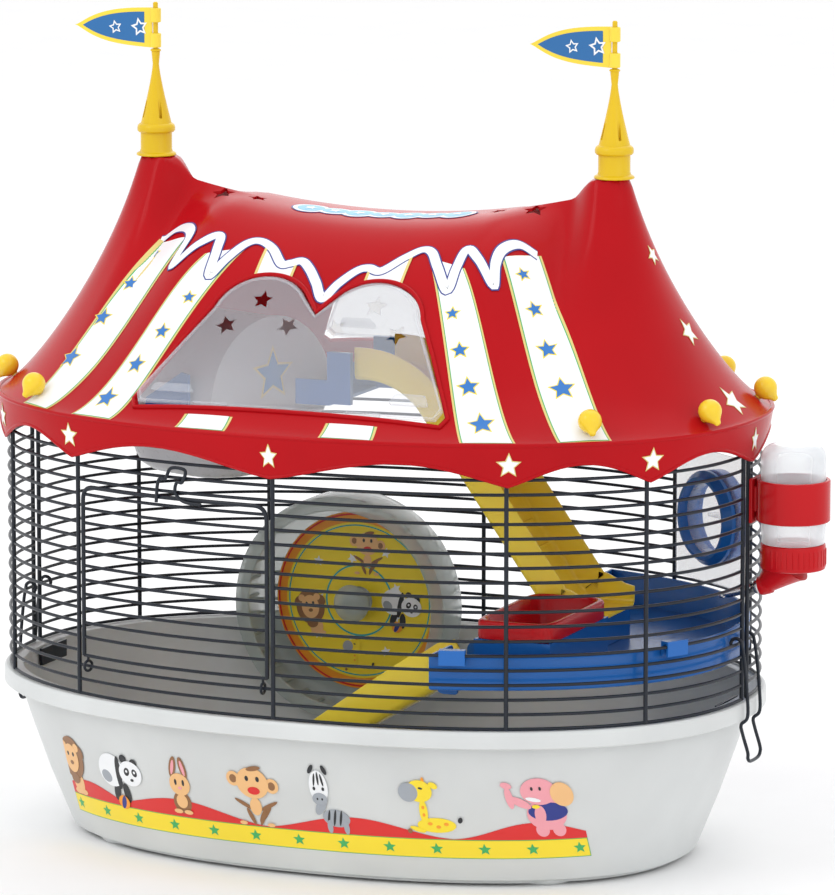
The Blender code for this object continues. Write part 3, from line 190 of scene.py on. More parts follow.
# A turned piece: the outline (radius, height) goes round the local z axis of a place
def turned(outline, steps=48, place=None):
    outline = np.asarray(outline, float)
    turn = np.linspace(0, 2 * math.pi, steps, endpoint=False)
    r, z = outline[:, 0][:, None], outline[:, 1][:, None]
    points = np.stack([r * np.cos(turn), r * np.sin(turn), z + 0 * turn], -1)
    if place is not None:
        points = moved(points, place)
    return grid(points, wrapV=True)


def moved(points, place):
    m = np.array(place)
    return np.asarray(points) @ m[:3, :3].T + m[:3, 3]


def axisPlace(origin, axis):
    return Matrix.Translation(origin) @ Vector(axis).to_track_quat("Z", "Y").to_matrix().to_4x4()


# Rounds the corners of a flat outline: each corner becomes a short arc-like run of points
def rounded(outline, radius, steps=5, closed=True):
    p = np.asarray(outline, float)
    before, after = np.roll(p, 1, 0) - p, np.roll(p, -1, 0) - p
    lb, la = np.linalg.norm(before, axis=1), np.linalg.norm(after, axis=1)
    r = np.minimum(np.broadcast_to(radius, len(p)), 0.49 * np.minimum(lb, la))
    a = p + before / lb[:, None] * r[:, None]
    b = p + after / la[:, None] * r[:, None]
    t = np.linspace(0, 1, steps)[None, :, None]
    run = (1 - t) ** 2 * a[:, None] + 2 * t * (1 - t) * p[:, None] + t**2 * b[:, None]
    if not closed:
        run[0], run[-1] = p[0], p[-1]
    return run.reshape(-1, p.shape[1])


# A slab: a flat outline (x, y) filled from its middle, given a thickness about its plane
def slab(outline, thick, place, centre=None):
    o = np.asarray(outline, float)
    c = o.mean(0) if centre is None else np.asarray(centre)
    c = np.broadcast_to(c, o.shape)
    h = thick / 2
    rings = [
        np.c_[c, np.full(len(o), -h)], np.c_[o, np.full(len(o), -h)], np.c_[o, np.full(len(o), h)],
        np.c_[c, np.full(len(o), h)],
    ]
    return grid(moved(np.array(rings), place), wrapV=True)


# A box with bevelled edges between two corners
def block(low, high, bevel=0.8 * mm):
    low, high = np.asarray(low, float), np.asarray(high, float)
    mid, half = (low + high) / 2, (high - low) / 2
    b = min(bevel, 0.45 * half.min())
    z = np.array([-half[2], -half[2] + b, half[2] - b, half[2]])
    inset = np.array([b, 0, 0, b])
    corner = []
    for sx, sy, s in ((1, 1, 0), (-1, 1, 1), (-1, -1, 2), (1, -1, 3)):
        for k in (0, 45, 90):
            t = math.radians(90 * s + k)
            corner.append((sx * (half[0] - b) + b * math.cos(t), sy * (half[1] - b) + b * math.sin(t)))
    corner = np.array(corner)
    rings = [np.c_[corner * 0, np.full(12, z[0])]]
    for zi, i in zip(z, inset):
        shrink = (half[:2] - i) / half[:2]
        rings.append(np.c_[corner * shrink, np.full(12, zi)])
    rings.append(np.c_[corner * 0, np.full(12, z[3])])
    return grid(np.array(rings) + mid, wrapV=True)


# Star outline: ten points, in and out by turns
def star(size, inner=0.45, turn=0.0, points=5):
    t = np.linspace(0, 2 * math.pi, 2 * points, endpoint=False) + math.pi / 2 + turn
    r = np.where(np.arange(2 * points) % 2 == 0, 1, inner) * size
    return np.stack([r * np.cos(t), r * np.sin(t)], 1)


def ellipse(rx, ry, steps=28, x=0.0, y=0.0, turn=0.0):
    t = np.linspace(0, 2 * math.pi, steps, endpoint=False)
    px, py = rx * np.cos(t), ry * np.sin(t)
    c, s = math.cos(turn), math.sin(turn)
    return np.stack([x + px * c - py * s, y + px * s + py * c], 1)


# The rounded outline in plan
def planCurve(t, a, b, power=cage["power"]):
    c, s = np.cos(t), np.sin(t)
    return a * np.sign(c) * np.abs(c) ** (2 / power), b * np.sign(s) * np.abs(s) ** (2 / power)


def planY(x, a, b, power=cage["power"]):
    return b * np.maximum(0, 1 - np.abs(x / a) ** power) ** (1 / power)


def planAngle(x, a, power=cage["power"]):
    return math.acos(min(1.0, (abs(x) / a) ** (power / 2)))


def evenAngles(count, a, b, start=0.0, end=2 * math.pi):
    fine = np.linspace(start, end, 6001)
    x, y = planCurve(fine, a, b)
    run = np.concatenate([[0], np.cumsum(np.hypot(np.diff(x), np.diff(y)))])
    return np.interp(np.linspace(0, run[-1], count), run, fine)


def postAngles():
    side, corner = planAngle(cage["sidePostX"], wireA), planAngle(cage["cornerPostX"], wireA)
    quarter = [0, corner, side, math.pi / 2]
    half = quarter + [math.pi - a for a in reversed(quarter[:-1])]
    return half[:-1] + [math.pi + a for a in half[:-1]]


posts = postAngles()


def smoothStep(low, high, value):
    t = np.clip((value - low) / (high - low), 0, 1)
    return t * t * (3 - 2 * t)


skin = {"mottleScale": 14, "grainDepth": 0.0006, "coatRough": 0.08, "softReach": 0.004, "edgeBlend": 0.35}


# Moulded plastic: a colour with slow mottling, a fine skin grain, and a gloss that varies a little
def plastic(
    name, colour, rough=0.3, alpha=1.0, edge=0.0, grain=0.04, coat=0.0, sheenScale=320, metal=0.0,
    mottle=0.05, soft=0.0, shine=0.5,
):
    made = bpy.data.materials.new(name)
    made.use_nodes = True
    tree = made.node_tree
    shader = tree.nodes["Principled BSDF"]
    link = tree.links.new
    where = tree.nodes.new("ShaderNodeTexCoord")

    def noise(scale, detail):
        made = tree.nodes.new("ShaderNodeTexNoise")
        made.inputs["Scale"].default_value = scale
        made.inputs["Detail"].default_value = detail
        link(where.outputs["Object"], made.inputs["Vector"])
        return made

    slow, fine = noise(skin["mottleScale"], 3), noise(sheenScale, 2)
    ramp = tree.nodes.new("ShaderNodeValToRGB")
    low = [c * (1 - mottle) for c in colour]
    high = [min(1, c * (1 + mottle)) for c in colour]
    ramp.color_ramp.elements[0].position, ramp.color_ramp.elements[1].position = 0.3, 0.7
    ramp.color_ramp.elements[0].color = (*low, 1)
    ramp.color_ramp.elements[1].color = (*high, 1)
    link(slow.outputs["Fac"], ramp.inputs["Fac"])
    link(ramp.outputs["Color"], shader.inputs["Base Color"])
    spread = tree.nodes.new("ShaderNodeMapRange")
    spread.inputs["To Min"].default_value = max(0.02, rough * 0.85)
    spread.inputs["To Max"].default_value = min(1, rough * 1.2)
    link(fine.outputs["Fac"], spread.inputs["Value"])
    link(spread.outputs["Result"], shader.inputs["Roughness"])
    bump = tree.nodes.new("ShaderNodeBump")
    bump.inputs["Strength"].default_value = grain
    bump.inputs["Distance"].default_value = skin["grainDepth"]
    link(fine.outputs["Fac"], bump.inputs["Height"])
    link(bump.outputs["Normal"], shader.inputs["Normal"])
    shader.inputs["Metallic"].default_value = metal
    shader.inputs["Specular IOR Level"].default_value = shine
    shader.inputs["Coat Weight"].default_value = coat
    shader.inputs["Coat Roughness"].default_value = skin["coatRough"]
    if soft:
        shader.inputs["Subsurface Weight"].default_value = soft
        shader.inputs["Subsurface Radius"].default_value = (skin["softReach"],) * 3
        shader.inputs["Subsurface Scale"].default_value = 1.0
    if alpha < 1:
        facing = tree.nodes.new("ShaderNodeLayerWeight")
        facing.inputs["Blend"].default_value = skin["edgeBlend"]
        opacity = tree.nodes.new("ShaderNodeMapRange")
        opacity.inputs["To Min"].default_value = alpha
        opacity.inputs["To Max"].default_value = max(alpha, edge)
        link(facing.outputs["Facing"], opacity.inputs["Value"])
        link(opacity.outputs["Result"], shader.inputs["Alpha"])
    return made


redGloss = plastic("redGloss", (0.43, 0.005, 0.009), 0.22, coat=0.02, grain=0.03, shine=0.09)
redInside = plastic("redFittings", (0.5, 0.008, 0.012), 0.22, coat=0.05, shine=0.16)
trayWhite = plastic("trayWhite", (0.63, 0.65, 0.645), 0.38, grain=0.05, soft=0.08)
wireBlack = plastic("wireCoat", (0.01, 0.014, 0.022), 0.32, coat=0.06, sheenScale=500, shine=0.3)
yellowGloss = plastic("spireYellow", (0.72, 0.48, 0.012), 0.24, coat=0.06, soft=0.03, shine=0.25)
bulbYellow = plastic("bulbYellow", (0.86, 0.6, 0.03), 0.15, coat=0.15, soft=0.1, shine=0.3)
flagYellow = plastic("flagYellow", (0.9, 0.68, 0.05), 0.3)
flagBlue = plastic("flagBlue", (0.015, 0.14, 0.38), 0.3)
clearPane = plastic(
    "clearPane", (0.8, 0.83, 0.88), 0.06, alpha=0.09, edge=0.6, coat=0.12, grain=0.02, shine=0.35,
)
clearFlask = plastic("clearFlask", (0.86, 0.9, 0.93), 0.07, alpha=0.2, edge=0.85, coat=0.3, grain=0.02)
milkWhite = plastic("milkWhite", (0.6, 0.61, 0.64), 0.28, alpha=0.86, edge=1.0, soft=0.15, shine=0.35)
bluePlastic = plastic("platformBlue", (0.012, 0.12, 0.42), 0.24, coat=0.06, shine=0.3)
portBlue = plastic("portBlue", (0.014, 0.13, 0.45), 0.22, coat=0.06, shine=0.3)
amber = plastic("slideAmber", (0.98, 0.74, 0.06), 0.2, alpha=0.93, edge=1.0, coat=0.1, soft=0.12, shine=0.3)
smokeClear = plastic("wheelSmoke", (0.5, 0.57, 0.55), 0.16, alpha=0.5, edge=0.95, coat=0.25)
brightSteel = plastic("spoutSteel", (0.62, 0.63, 0.65), 0.2, metal=1.0, grain=0.02)
inks = {}
for label, colour in {
    "gold": (0.72, 0.58, 0.2), "blue": (0.02, 0.17, 0.52), "deep": (0.02, 0.035, 0.24),
    "green": (0.05, 0.42, 0.12),
    "yellow": (0.93, 0.72, 0.03), "orange": (0.9, 0.33, 0.02), "red": (0.7, 0.02, 0.02),
    "teal": (0.02, 0.4, 0.42),
    "brown": (0.28, 0.13, 0.05), "grey": (0.35, 0.38, 0.42), "pink": (0.85, 0.35, 0.4),
    "tan": (0.85, 0.5, 0.22),
    "black": (0.02, 0.022, 0.026),
}.items():
    inks[label] = plastic("print" + label.title(), colour, 0.34, mottle=0.03)
inks["white"] = plastic("printWhite", (0.86, 0.88, 0.9), 0.34, mottle=0.02)
inks["sky"] = plastic("printSky", (0.16, 0.5, 0.72), 0.3, mottle=0.03)
print("materials made")

# Camera, floor and light
view = {
    "azimuth": 22.9311, "elevation": 9.4556, "distance": 4.05217, "target": (0.02419, 0, 0.25125),
    "focal": 6437.24, "height": 895, "sensor": 36,
}
az, el = math.radians(view["azimuth"]), math.radians(view["elevation"])
back = Vector((math.sin(az) * math.cos(el), -math.cos(az) * math.cos(el), math.sin(el)))
lens = bpy.data.cameras.new("camera")
lens.sensor_width = view["sensor"]
lens.lens = view["focal"] / view["height"] * view["sensor"]
lens.clip_start, lens.clip_end = 0.1, 50
eye = bpy.data.objects.new("camera", lens)
bpy.context.scene.collection.objects.link(eye)
eye.location = Vector(view["target"]) + back * view["distance"]
eye.rotation_euler = (-back).to_track_quat("-Z", "Y").to_euler()
bpy.context.scene.camera = eye


def areaLight(name, place, target, size, power):
    light = bpy.data.lights.new(name, "AREA")
    light.shape, light.size, light.energy = "SQUARE", size, power
    lamp = bpy.data.objects.new(name, light)
    bpy.context.scene.collection.objects.link(lamp)
    lamp.location = place
    lamp.rotation_euler = (Vector(target) - Vector(place)).to_track_quat("-Z", "Y").to_euler()


lamps = {
    "keyLight": {"place": (-1.3, -2.0, 2.3), "target": (0, 0, 0.2), "size": 1.3, "power": 13},
    "fillLight": {"place": (2.3, -1.5, 1.1), "target": (0, 0, 0.25), "size": 1.6, "power": 4},
    "topLight": {"place": (0.2, 0.6, 2.4), "target": (0, 0, 0.2), "size": 1.8, "power": 6},
    "backLight": {"place": (-0.6, 2.4, 1.3), "target": (0, 0, 0.3), "size": 1.6, "power": 4},
}
for name, lamp in lamps.items():
    areaLight(name, **lamp)
studio = {"air": (0.99, 0.99, 1.0, 1), "airLight": 1.08, "floor": (0.93, 0.93, 0.93), "reach": 6}
bpy.context.scene.view_settings.view_transform = "Standard"  # true print colours
world = bpy.data.worlds.new("studio")
world.use_nodes = True
world.node_tree.nodes["Background"].inputs["Color"].default_value = studio["air"]
world.node_tree.nodes["Background"].inputs["Strength"].default_value = studio["airLight"]
bpy.context.scene.world = world

floorMesh = bpy.data.meshes.new("studioFloor")
floorCorners = [
    (x * studio["reach"], y * studio["reach"], 0)
    for x, y in ((-1, -1), (1, -1), (1, 1), (-1, 1))
]
floorMesh.from_pydata(floorCorners, [], [(0, 1, 2, 3)])
floorMesh.materials.append(plastic("studioFloor", studio["floor"], 0.8, mottle=0.01, shine=0.2))
floor = bpy.data.objects.new("studioFloor", floorMesh)
bpy.context.scene.collection.objects.link(floor)

# Tray
tray = {
    "rimWidth": 12 * mm, "lip": 10.8 * mm, "wall": 2.5 * mm, "taper": 31.5 * mm, "foot": 4 * mm,
    "footRadius": 17 * mm, "ribs": 72,
}
trayA, trayB = cage["length"] / 2, cage["depth"] / 2
trayLow = tray["taper"] + tray["rimWidth"] - tray["wall"]
trayOuterTop = tray["rimWidth"] - tray["wall"]
trayWallLine = np.array([
    (trayLow + 3 * mm, tray["foot"]),
    (trayLow, tray["foot"] + 3 * mm),
    (trayLow - tray["taper"] * 0.42, tray["foot"] + 0.34 * cage["rimZ"]),
    (trayLow - tray["taper"] * 0.76, tray["foot"] + 0.63 * cage["rimZ"]),
    (trayOuterTop + 0.5 * mm, cage["rimZ"] - tray["lip"] - 2 * mm),
])


# The front of the tray's wall at each x and height, pushed out by lift
def trayAt(x, z, lift=0.0):
    def surface(x, z):
        inset = np.interp(z, trayWallLine[:, 1], trayWallLine[:, 0])
        return np.stack([x, -planY(x, trayA - inset, trayB - inset), z], -1)

    step = 0.2 * mm
    here = surface(x, z)
    dx, dz = surface(x + step, z) - here, surface(x, z + step) - here
    normal = np.cross(dx, dz)
    normal /= np.linalg.norm(normal, axis=-1)[..., None]
    return here + normal * lift


def makeTray():
    angles = evenAngles(241, trayA, trayB)[:-1]
    heights = np.linspace(tray["foot"] + 3 * mm, trayWallLine[-1, 1], 14)
    wall = np.interp(heights, trayWallLine[:, 1], trayWallLine[:, 0])
    outer = [
        (trayLow + 60 * mm, tray["foot"]), (trayLow + 3 * mm, tray["foot"]),
        (trayLow + 1 * mm, tray["foot"] + 0.8 * mm),
    ] + list(zip(wall, heights))
    rim = cage["rimZ"]
    lip = [
        (trayOuterTop, rim - 3 * mm), (2 * mm, rim - 3 * mm), (2 * mm, rim - tray["lip"]),
        (1.2 * mm, rim - tray["lip"] - 0.3 * mm), (0, rim - tray["lip"] + 0.6 * mm),
        (0, rim - 2.4 * mm), (0.3 * mm, rim - 1.1 * mm), (1.2 * mm, rim - 0.2 * mm), (2.4 * mm, rim),
        (tray["rimWidth"] - 1.4 * mm, rim), (tray["rimWidth"] - 0.3 * mm, rim - 0.4 * mm),
        (tray["rimWidth"], rim - 1.6 * mm),
    ]
    inside = [(i + tray["wall"], z) for i, z in zip(wall[::-1], heights[::-1])][:-1]
    inside += [
        (trayLow + tray["wall"] + 0.6 * mm, tray["foot"] + tray["wall"] + 1.6 * mm),
        (trayLow + tray["wall"] + 4 * mm, tray["foot"] + tray["wall"]),
        (trayLow + 60 * mm, tray["foot"] + tray["wall"]),
    ]
    rings = []
    for inset, z in outer + lip + inside:
        x, y = planCurve(angles, trayA - inset, trayB - inset)
        rings.append(np.stack([x, y, np.full_like(x, z)], 1))
    middleLow = np.tile([0, 0, tray["foot"]], (len(angles), 1))
    middleHigh = np.tile([0, 0, tray["foot"] + tray["wall"]], (len(angles), 1))
    shapes = [grid(np.array([middleLow] + rings + [middleHigh]), wrapV=True)]
    inset = trayLow + tray["footRadius"] + 4 * mm
    fx, fy = planCurve(np.array([math.radians(42)]), trayA - inset, trayB - inset)
    r = tray["footRadius"]
    for x, y in [(sx * fx[0], sy * fy[0]) for sx in (-1, 1) for sy in (-1, 1)] + [(0, 0)]:
        outline = [
            (0, tray["foot"] + 1 * mm), (r, tray["foot"] + 1 * mm), (r - 0.4 * mm, 2 * mm),
            (r - 1.6 * mm, 0.5 * mm), (r - 2.6 * mm, 0), (0, 0),
        ]
        shapes.append(turned(outline, 40, Matrix.Translation((x, y, 0))))
    ring = [
        (trayLow + 7 * mm, tray["foot"] + 0.5 * mm), (trayLow + 7 * mm, 1.6 * mm),
        (trayLow + 9 * mm, 1.6 * mm), (trayLow + 9 * mm, tray["foot"] + 0.5 * mm),
    ]
    base = []
    for inset, z in ring:
        x, y = planCurve(angles, trayA - inset, trayB - inset)
        base.append(np.stack([x, y, np.full_like(x, z)], 1))
    shapes.append(grid(np.array(base), wrapU=True, wrapV=True))
    # short ribs that stiffen the hollow rim
    for t in evenAngles(tray["ribs"] + 1, trayA, trayB)[:-1]:
        x, y = planCurve(np.array([t, t + 0.001]), trayA, trayB)
        along = np.array([x[1] - x[0], y[1] - y[0], 0])
        along /= np.linalg.norm(along)
        out = np.cross(along, (0, 0, 1))
        place = np.eye(4)
        place[:3, 0], place[:3, 1], place[:3, 2], place[:3, 3] = along, out, (0, 0, 1), (x[0], y[0], 0)
        low, high = (-0.6 * mm, -trayOuterTop - 1 * mm, rim - 9.5 * mm), (0.6 * mm, -1.5 * mm, rim - 2.6 * mm)
        p, f = block(low, high, 0.2 * mm)
        shapes.append((moved(p, place), f))
    piece("trayBody", shapes, trayWhite, "base", ["tray"])


makeTray()
# CAD parts that stay as they are get only a material
plainParts = {
    "rim_catch_left": wireBlack, "rim_catch_right": wireBlack, "nest_side_wall": bluePlastic,
    "upper_shelf": bluePlastic, "bowl_stand": bluePlastic, "landing_block": bluePlastic,
    "platform_hook_front": bluePlastic, "platform_hook_end": bluePlastic, "wheel_bracket": smokeClear,
    "wheel_axle": brightSteel, "port_plate": clearPane, "spout_ball": brightSteel, "ramp_pin": amber,
}
for name, material in plainParts.items():
    nodes[name].data.materials.clear()
    nodes[name].data.materials.append(material)
print("tray made")


# Wire walls
wires = {"radius": 1.02 * mm, "postRadius": 1.4 * mm, "postOut": 0.4 * mm, "sides": 10}


def wallCurve(start, end, z, count=None, out=0.0):
    count = count or max(6, int(abs(end - start) / 0.035))
    t = evenAngles(count, wireA, wireB, start, end)
    x, y = planCurve(t, wireA + out, wireB + out)
    return np.stack([x, y, np.full_like(x, z)], 1)


def makeWalls():
    split = math.radians(0.9)
    rows = [cage["rimZ"] + 1.35 * mm] + [rowZ(k) for k in range(1, cage["rows"] + 1)]
    for name, node, low, high, gapRows, gapEnds in (
        ("wireWallRear", "cage_rear", posts[0] + split, posts[6] - split, range(6, 15), (posts[1], posts[2])),
        (
            "wireWallFront", "cage_front", posts[6] + split, 2 * math.pi - split, range(3, 15),
            (posts[8], posts[9]),
        ),
    ):
        shapes = []
        for k, z in enumerate(rows):
            if k in gapRows:
                shapes.append(tube(wallCurve(low, gapEnds[0], z), wires["radius"], wires["sides"]))
                shapes.append(tube(wallCurve(gapEnds[1], high, z), wires["radius"], wires["sides"]))
            else:
                shapes.append(tube(wallCurve(low, high, z), wires["radius"], wires["sides"]))
        first = 0 if low < 1 else 6
        for t in [low] + [posts[i] for i in range(first + 1, first + 6)] + [high]:
            x, y = planCurve(np.array([t]), wireA + wires["postOut"], wireB + wires["postOut"])
            z = np.array([rows[0] - 0.6 * mm, rows[0], rows[-1], rows[-1] + 0.6 * mm])
            path = np.stack([np.full(4, x[0]), np.full(4, y[0]), z], 1)
            shapes.append(
                tube(path, [0.9 * mm, wires["postRadius"], wires["postRadius"], 0.9 * mm], 12, ref=(1, 0, 0))
            )
        piece(name, shapes, wireBlack, "base", [node])


def frontAngle(x):
    found = planAngle(x, wireA)
    return math.pi + found if x < 0 else 2 * math.pi - found


door = {"row": 2, "topRow": 15, "gap": 4 * mm, "lift": 6.4 * mm, "corner": 9 * mm}


def makeDoor():
    left, right = -cage["sidePostX"] + door["gap"], -door["gap"]
    low, top = rowZ(door["row"]) + door["lift"], rowZ(door["topRow"]) - 4 * mm
    a, b = frontAngle(left), frontAngle(right)
    shapes = [tube(wallCurve(a, b, low), 1.05 * mm, 10)]
    for k in range(door["row"] + 2, door["topRow"]):
        shapes.append(tube(wallCurve(a, b, rowZ(k)), 1.0 * mm, 10))
    # the frame wire: up one side, across the top and down, with round corners
    flat = rounded(
        np.array([(left, low), (left, top), (right, top), (right, low)]),
        [0, door["corner"], door["corner"], 0], 9, closed=False,
    )
    flat = np.concatenate(
        [np.linspace(flat[i], flat[i + 1], 6)[:-1] for i in range(len(flat) - 1)] + [flat[-1:]]
    )
    keep = np.concatenate([[True], np.linalg.norm(np.diff(flat, axis=0), axis=1) > 0.05 * mm])
    flat = flat[keep]
    path = np.stack([flat[:, 0], -planY(flat[:, 0], wireA + 0.4 * mm, wireB + 0.4 * mm), flat[:, 1]], 1)
    shapes.append(tube(path, 1.35 * mm, 10, ref=(0, 1, 0.02)))
    for x in (left + 3 * mm, right - 3 * mm):
        y = -planY(x, wireA, wireB)
        slope = (planY(x + mm, wireA, wireB) - planY(x - mm, wireA, wireB)) / (2 * mm)
        along = np.array([1, -slope, 0]) / math.hypot(1, slope)
        out = np.array([-along[1], along[0], 0])
        turn = np.linspace(0, 2 * math.pi, 25)[:-1][:, None]
        ring = np.array([x, y, rowZ(door["row"])]) + 3.2 * mm * (
            np.cos(turn) * out + np.sin(turn) * np.array([0, 0, 1])
        )
        shapes.append(tube(ring, 0.9 * mm, 8, ref=along, closed=True))
        stem = np.array(
            [(x, y, rowZ(door["row"]) + 2.8 * mm), (x, y, rowZ(door["row"]) + 4.5 * mm), (x, y, low)]
        )
        shapes.append(tube(stem, 0.9 * mm, 8, ref=(1, 0, 0)))
    piece("dropDoor", shapes, wireBlack, "door", ["door"])
    latch = [
        (-80, -3), (-79, 8), (-77, 12), (-73, 12.5), (-69, 19), (-59, 18.5), (-61, 11), (-65, 10.5), (-66, 4),
        (-60, -1), (-48, -2),
    ]
    latch = np.array(latch) * mm
    out = 2.45 * mm
    path = np.stack([latch[:, 0], -planY(latch[:, 0], wireA + out, wireB + out), top + latch[:, 1]], 1)
    piece(
        "doorLatchWire", [tube(smoothPath(path, 6), 1.1 * mm, 10, ref=(0, 1, 0.01))], wireBlack, "door",
        ["door_latch"],
    )


def makeClips():
    pivotZ, spread, pivotX = rowZ(4), 11 * mm, wireA - 0.9 * mm
    rim = cage["length"] / 2 - pivotX
    under = cage["rimZ"] - tray["lip"] - 2.3 * mm
    hook = [(3.6 * mm * math.cos(a), 3.6 * mm * math.sin(a)) for a in np.radians([215, 170, 125, 80, 35, 0])]
    body = [
        (5.2 * mm, -9 * mm), (rim + 2.6 * mm, cage["rimZ"] - pivotZ + 6 * mm),
        (rim + 2.9 * mm, under - pivotZ + 5 * mm),
        (rim - 1.2 * mm, under - pivotZ), (rim - 0.2 * mm, under - pivotZ - 6 * mm),
        (rim + 3.2 * mm, under - pivotZ - 17 * mm), (rim + 3.4 * mm, under - pivotZ - 21 * mm),
    ]
    leg = [(pivotX + x, spread, pivotZ + z) for x, z in hook + body]
    run = leg + [(pivotX + rim + 3.4 * mm, spread * 0.6, under - 23.5 * mm)]
    run += [(x, -y, z) for x, y, z in reversed(run)]
    for name, side in (("clip_left", -1), ("clip_right", 1)):
        path = smoothPath(np.array(run) * (side, 1, 1), 6)
        piece(
            "rimClip" + name[5:].title(), [tubeFree(path, 1.1 * mm, 10)], wireBlack, name,
            [name],
        )


# A round bar along any path: each ring is turned from the one before by the least that keeps it square
def tubeFree(path, radius, sides=10):
    path = np.asarray(path, float)
    tangent = np.gradient(path, axis=0)
    tangent /= np.linalg.norm(tangent, axis=1)[:, None]
    side = np.cross(tangent[0], (0.31, 0.2, 0.93))
    sideways = []
    for t in tangent:
        side = side - t * (side @ t)
        side /= np.linalg.norm(side)
        sideways.append(side)
    side = np.array(sideways)
    up = np.cross(side, tangent)
    turn = np.linspace(0, 2 * math.pi, sides, endpoint=False)
    points = path[:, None] + radius * (
        np.cos(turn)[None, :, None] * side[:, None] + np.sin(turn)[None, :, None] * up[:, None]
    )
    first, last = np.repeat(path[:1, None], sides, 1), np.repeat(path[-1:, None], sides, 1)
    return grid(np.concatenate([first, points, last]), wrapV=True)


makeWalls()
makeDoor()
makeClips()
print("wires made")

# Roof
roof = {
    "creaseOut": 3 * mm, "creaseZ": 283 * mm, "skirtIn": 2 * mm, "tipZ": 257.5 * mm, "archZ": 271 * mm,
    "ridgeZ": 399 * mm, "ridgeRise": 22 * mm, "peakX": 156 * mm, "peakZ": 428 * mm, "peakRadius": 12.7 * mm,
    "wall": 2 * mm,
}
creaseA, creaseB = trayA + roof["creaseOut"], trayB + roof["creaseOut"]


# The tent: straight lines in plan run from the ridge (run 0) to the crease (run 1). They bulge in the
# middle of the cage and hang hollow round the two peaks
def roofSurface(angle, run):
    cx, cy = planCurve(angle, creaseA, creaseB)
    share = cx / (0.7 * creaseA)
    rx = roof["peakX"] * share / (1 + np.abs(share) ** 6) ** (1 / 6)
    nearPeak = smoothStep(0.82, 0.93, np.abs(rx) / roof["peakX"])
    top = roof["ridgeZ"] + roof["ridgeRise"] * (rx / roof["peakX"]) ** 2
    top = top + nearPeak * (roof["peakZ"] - top)
    reach = np.hypot(cx - rx, cy)
    flat = nearPeak * roof["peakRadius"] / reach
    up = np.clip((1 - run) / (1 - flat), 0, 1)
    bulged = 1 - (1 - up**1.6) ** 3
    hollow = 0.88 * up**1.4 + 0.12 * up**7
    mix = smoothStep(0.55, 1.0, np.abs(rx) / roof["peakX"])
    rise = bulged * (1 - mix) + hollow * mix
    return np.stack([rx + (cx - rx) * run, cy * run, roof["creaseZ"] + (top - roof["creaseZ"]) * rise], -1)


# Finds the line of the tent that passes over a point in plan, by halving the interval forty times
def roofHeight(x, y):
    x, y = np.broadcast_arrays(np.asarray(x, float), np.maximum(np.abs(np.asarray(y, float)), 0.02 * mm))
    low, high = np.full(x.shape, 1e-6), np.full(x.shape, math.pi - 1e-6)
    for _ in range(40):
        mid = (low + high) / 2
        cx, cy = planCurve(mid, creaseA, creaseB)
        share = cx / (0.7 * creaseA)
        rx = roof["peakX"] * share / (1 + np.abs(share) ** 6) ** (1 / 6)
        beyond = rx + (cx - rx) * (y / cy) > x
        low, high = np.where(beyond, mid, low), np.where(beyond, high, mid)
    cy = planCurve(low, creaseA, creaseB)[1]
    return roofSurface(low, np.clip(y / cy, 0, 1))[..., 2]


def roofAt(x, y, lift=0.0):
    x, y = np.asarray(x, float), np.asarray(y, float)
    step = 0.4 * mm
    z = roofHeight(x, y)
    gx = (roofHeight(x + step, y) - roofHeight(x - step, y)) / (2 * step)
    gy = (roofHeight(x, y + step) - roofHeight(x, y - step)) / (2 * step)
    normal = np.stack([-gx, -gy, np.ones_like(z)], -1)
    normal /= np.linalg.norm(normal, axis=-1)[..., None]
    return np.stack([x, y, z], -1) + normal * lift


def skirtEdge(angle):
    ends = np.array(posts + [2 * math.pi])
    share = np.interp(angle % (2 * math.pi), ends, np.arange(len(ends))) % 1
    return roof["tipZ"] + (roof["archZ"] - roof["tipZ"]) * np.sin(math.pi * share) ** 1.1


# The skirt below the crease, at each angle and share of its height (0 at the crease, 1 at the scalloped edge)
def skirtAt(angle, share, lift=0.0):
    inset = (roof["skirtIn"] - roof["creaseOut"]) * share - roof["creaseOut"] * (1 - share)
    x, y = planCurve(angle, trayA - inset + lift, trayB - inset + lift)
    return np.stack([x, y, roof["creaseZ"] + (skirtEdge(angle) - roof["creaseZ"]) * share], -1)


windowSize = {
    "footY": 150 * mm, "footZ": 294 * mm, "slope": math.radians(49.1), "half": 103 * mm, "height": 98 * mm,
    "valley": 72 * mm, "pane": 1.3 * mm, "clear": 1 * mm,
}


def windowOutline(inset, steps=28):
    w = windowSize
    archX, archY = 37 * mm, w["height"] - 32 * mm
    rx, ry = 33 * mm - inset, 32 * mm - inset
    turns = np.radians(np.linspace(146, 12, steps))
    arch = np.stack([archX + rx * np.cos(turns), archY + ry * np.sin(turns)], 1)
    side = [
        (w["half"] * 0.8 - inset, w["height"] * 0.49), (w["half"] - inset, 7 * mm + inset),
        (w["half"] - 3 * mm - inset, inset),
    ]
    right = np.concatenate([[(0, w["valley"] - inset)], arch, side])
    left = right[:0:-1] * (-1, 1)
    return np.concatenate([right, left])


def windowPlace(side):
    w = windowSize
    up = Vector((0, -side * math.cos(w["slope"]), math.sin(w["slope"])))
    across = Vector((-side, 0, 0))
    turn = Matrix((across, up, across.cross(up))).transposed().to_4x4()
    return Matrix.Translation((0, side * w["footY"], w["footZ"])) @ turn


# Fills the straight stretches of an outline with more points
def refined(outline, step):
    o = np.asarray(outline, float)
    nxt = np.roll(o, -1, 0)
    counts = np.maximum(1, np.ceil(np.linalg.norm(nxt - o, axis=1) / step).astype(int))
    return np.concatenate(
        [o[i] + (nxt[i] - o[i]) * np.linspace(0, 1, n, endpoint=False)[:, None] for i, n in enumerate(counts)]
    )


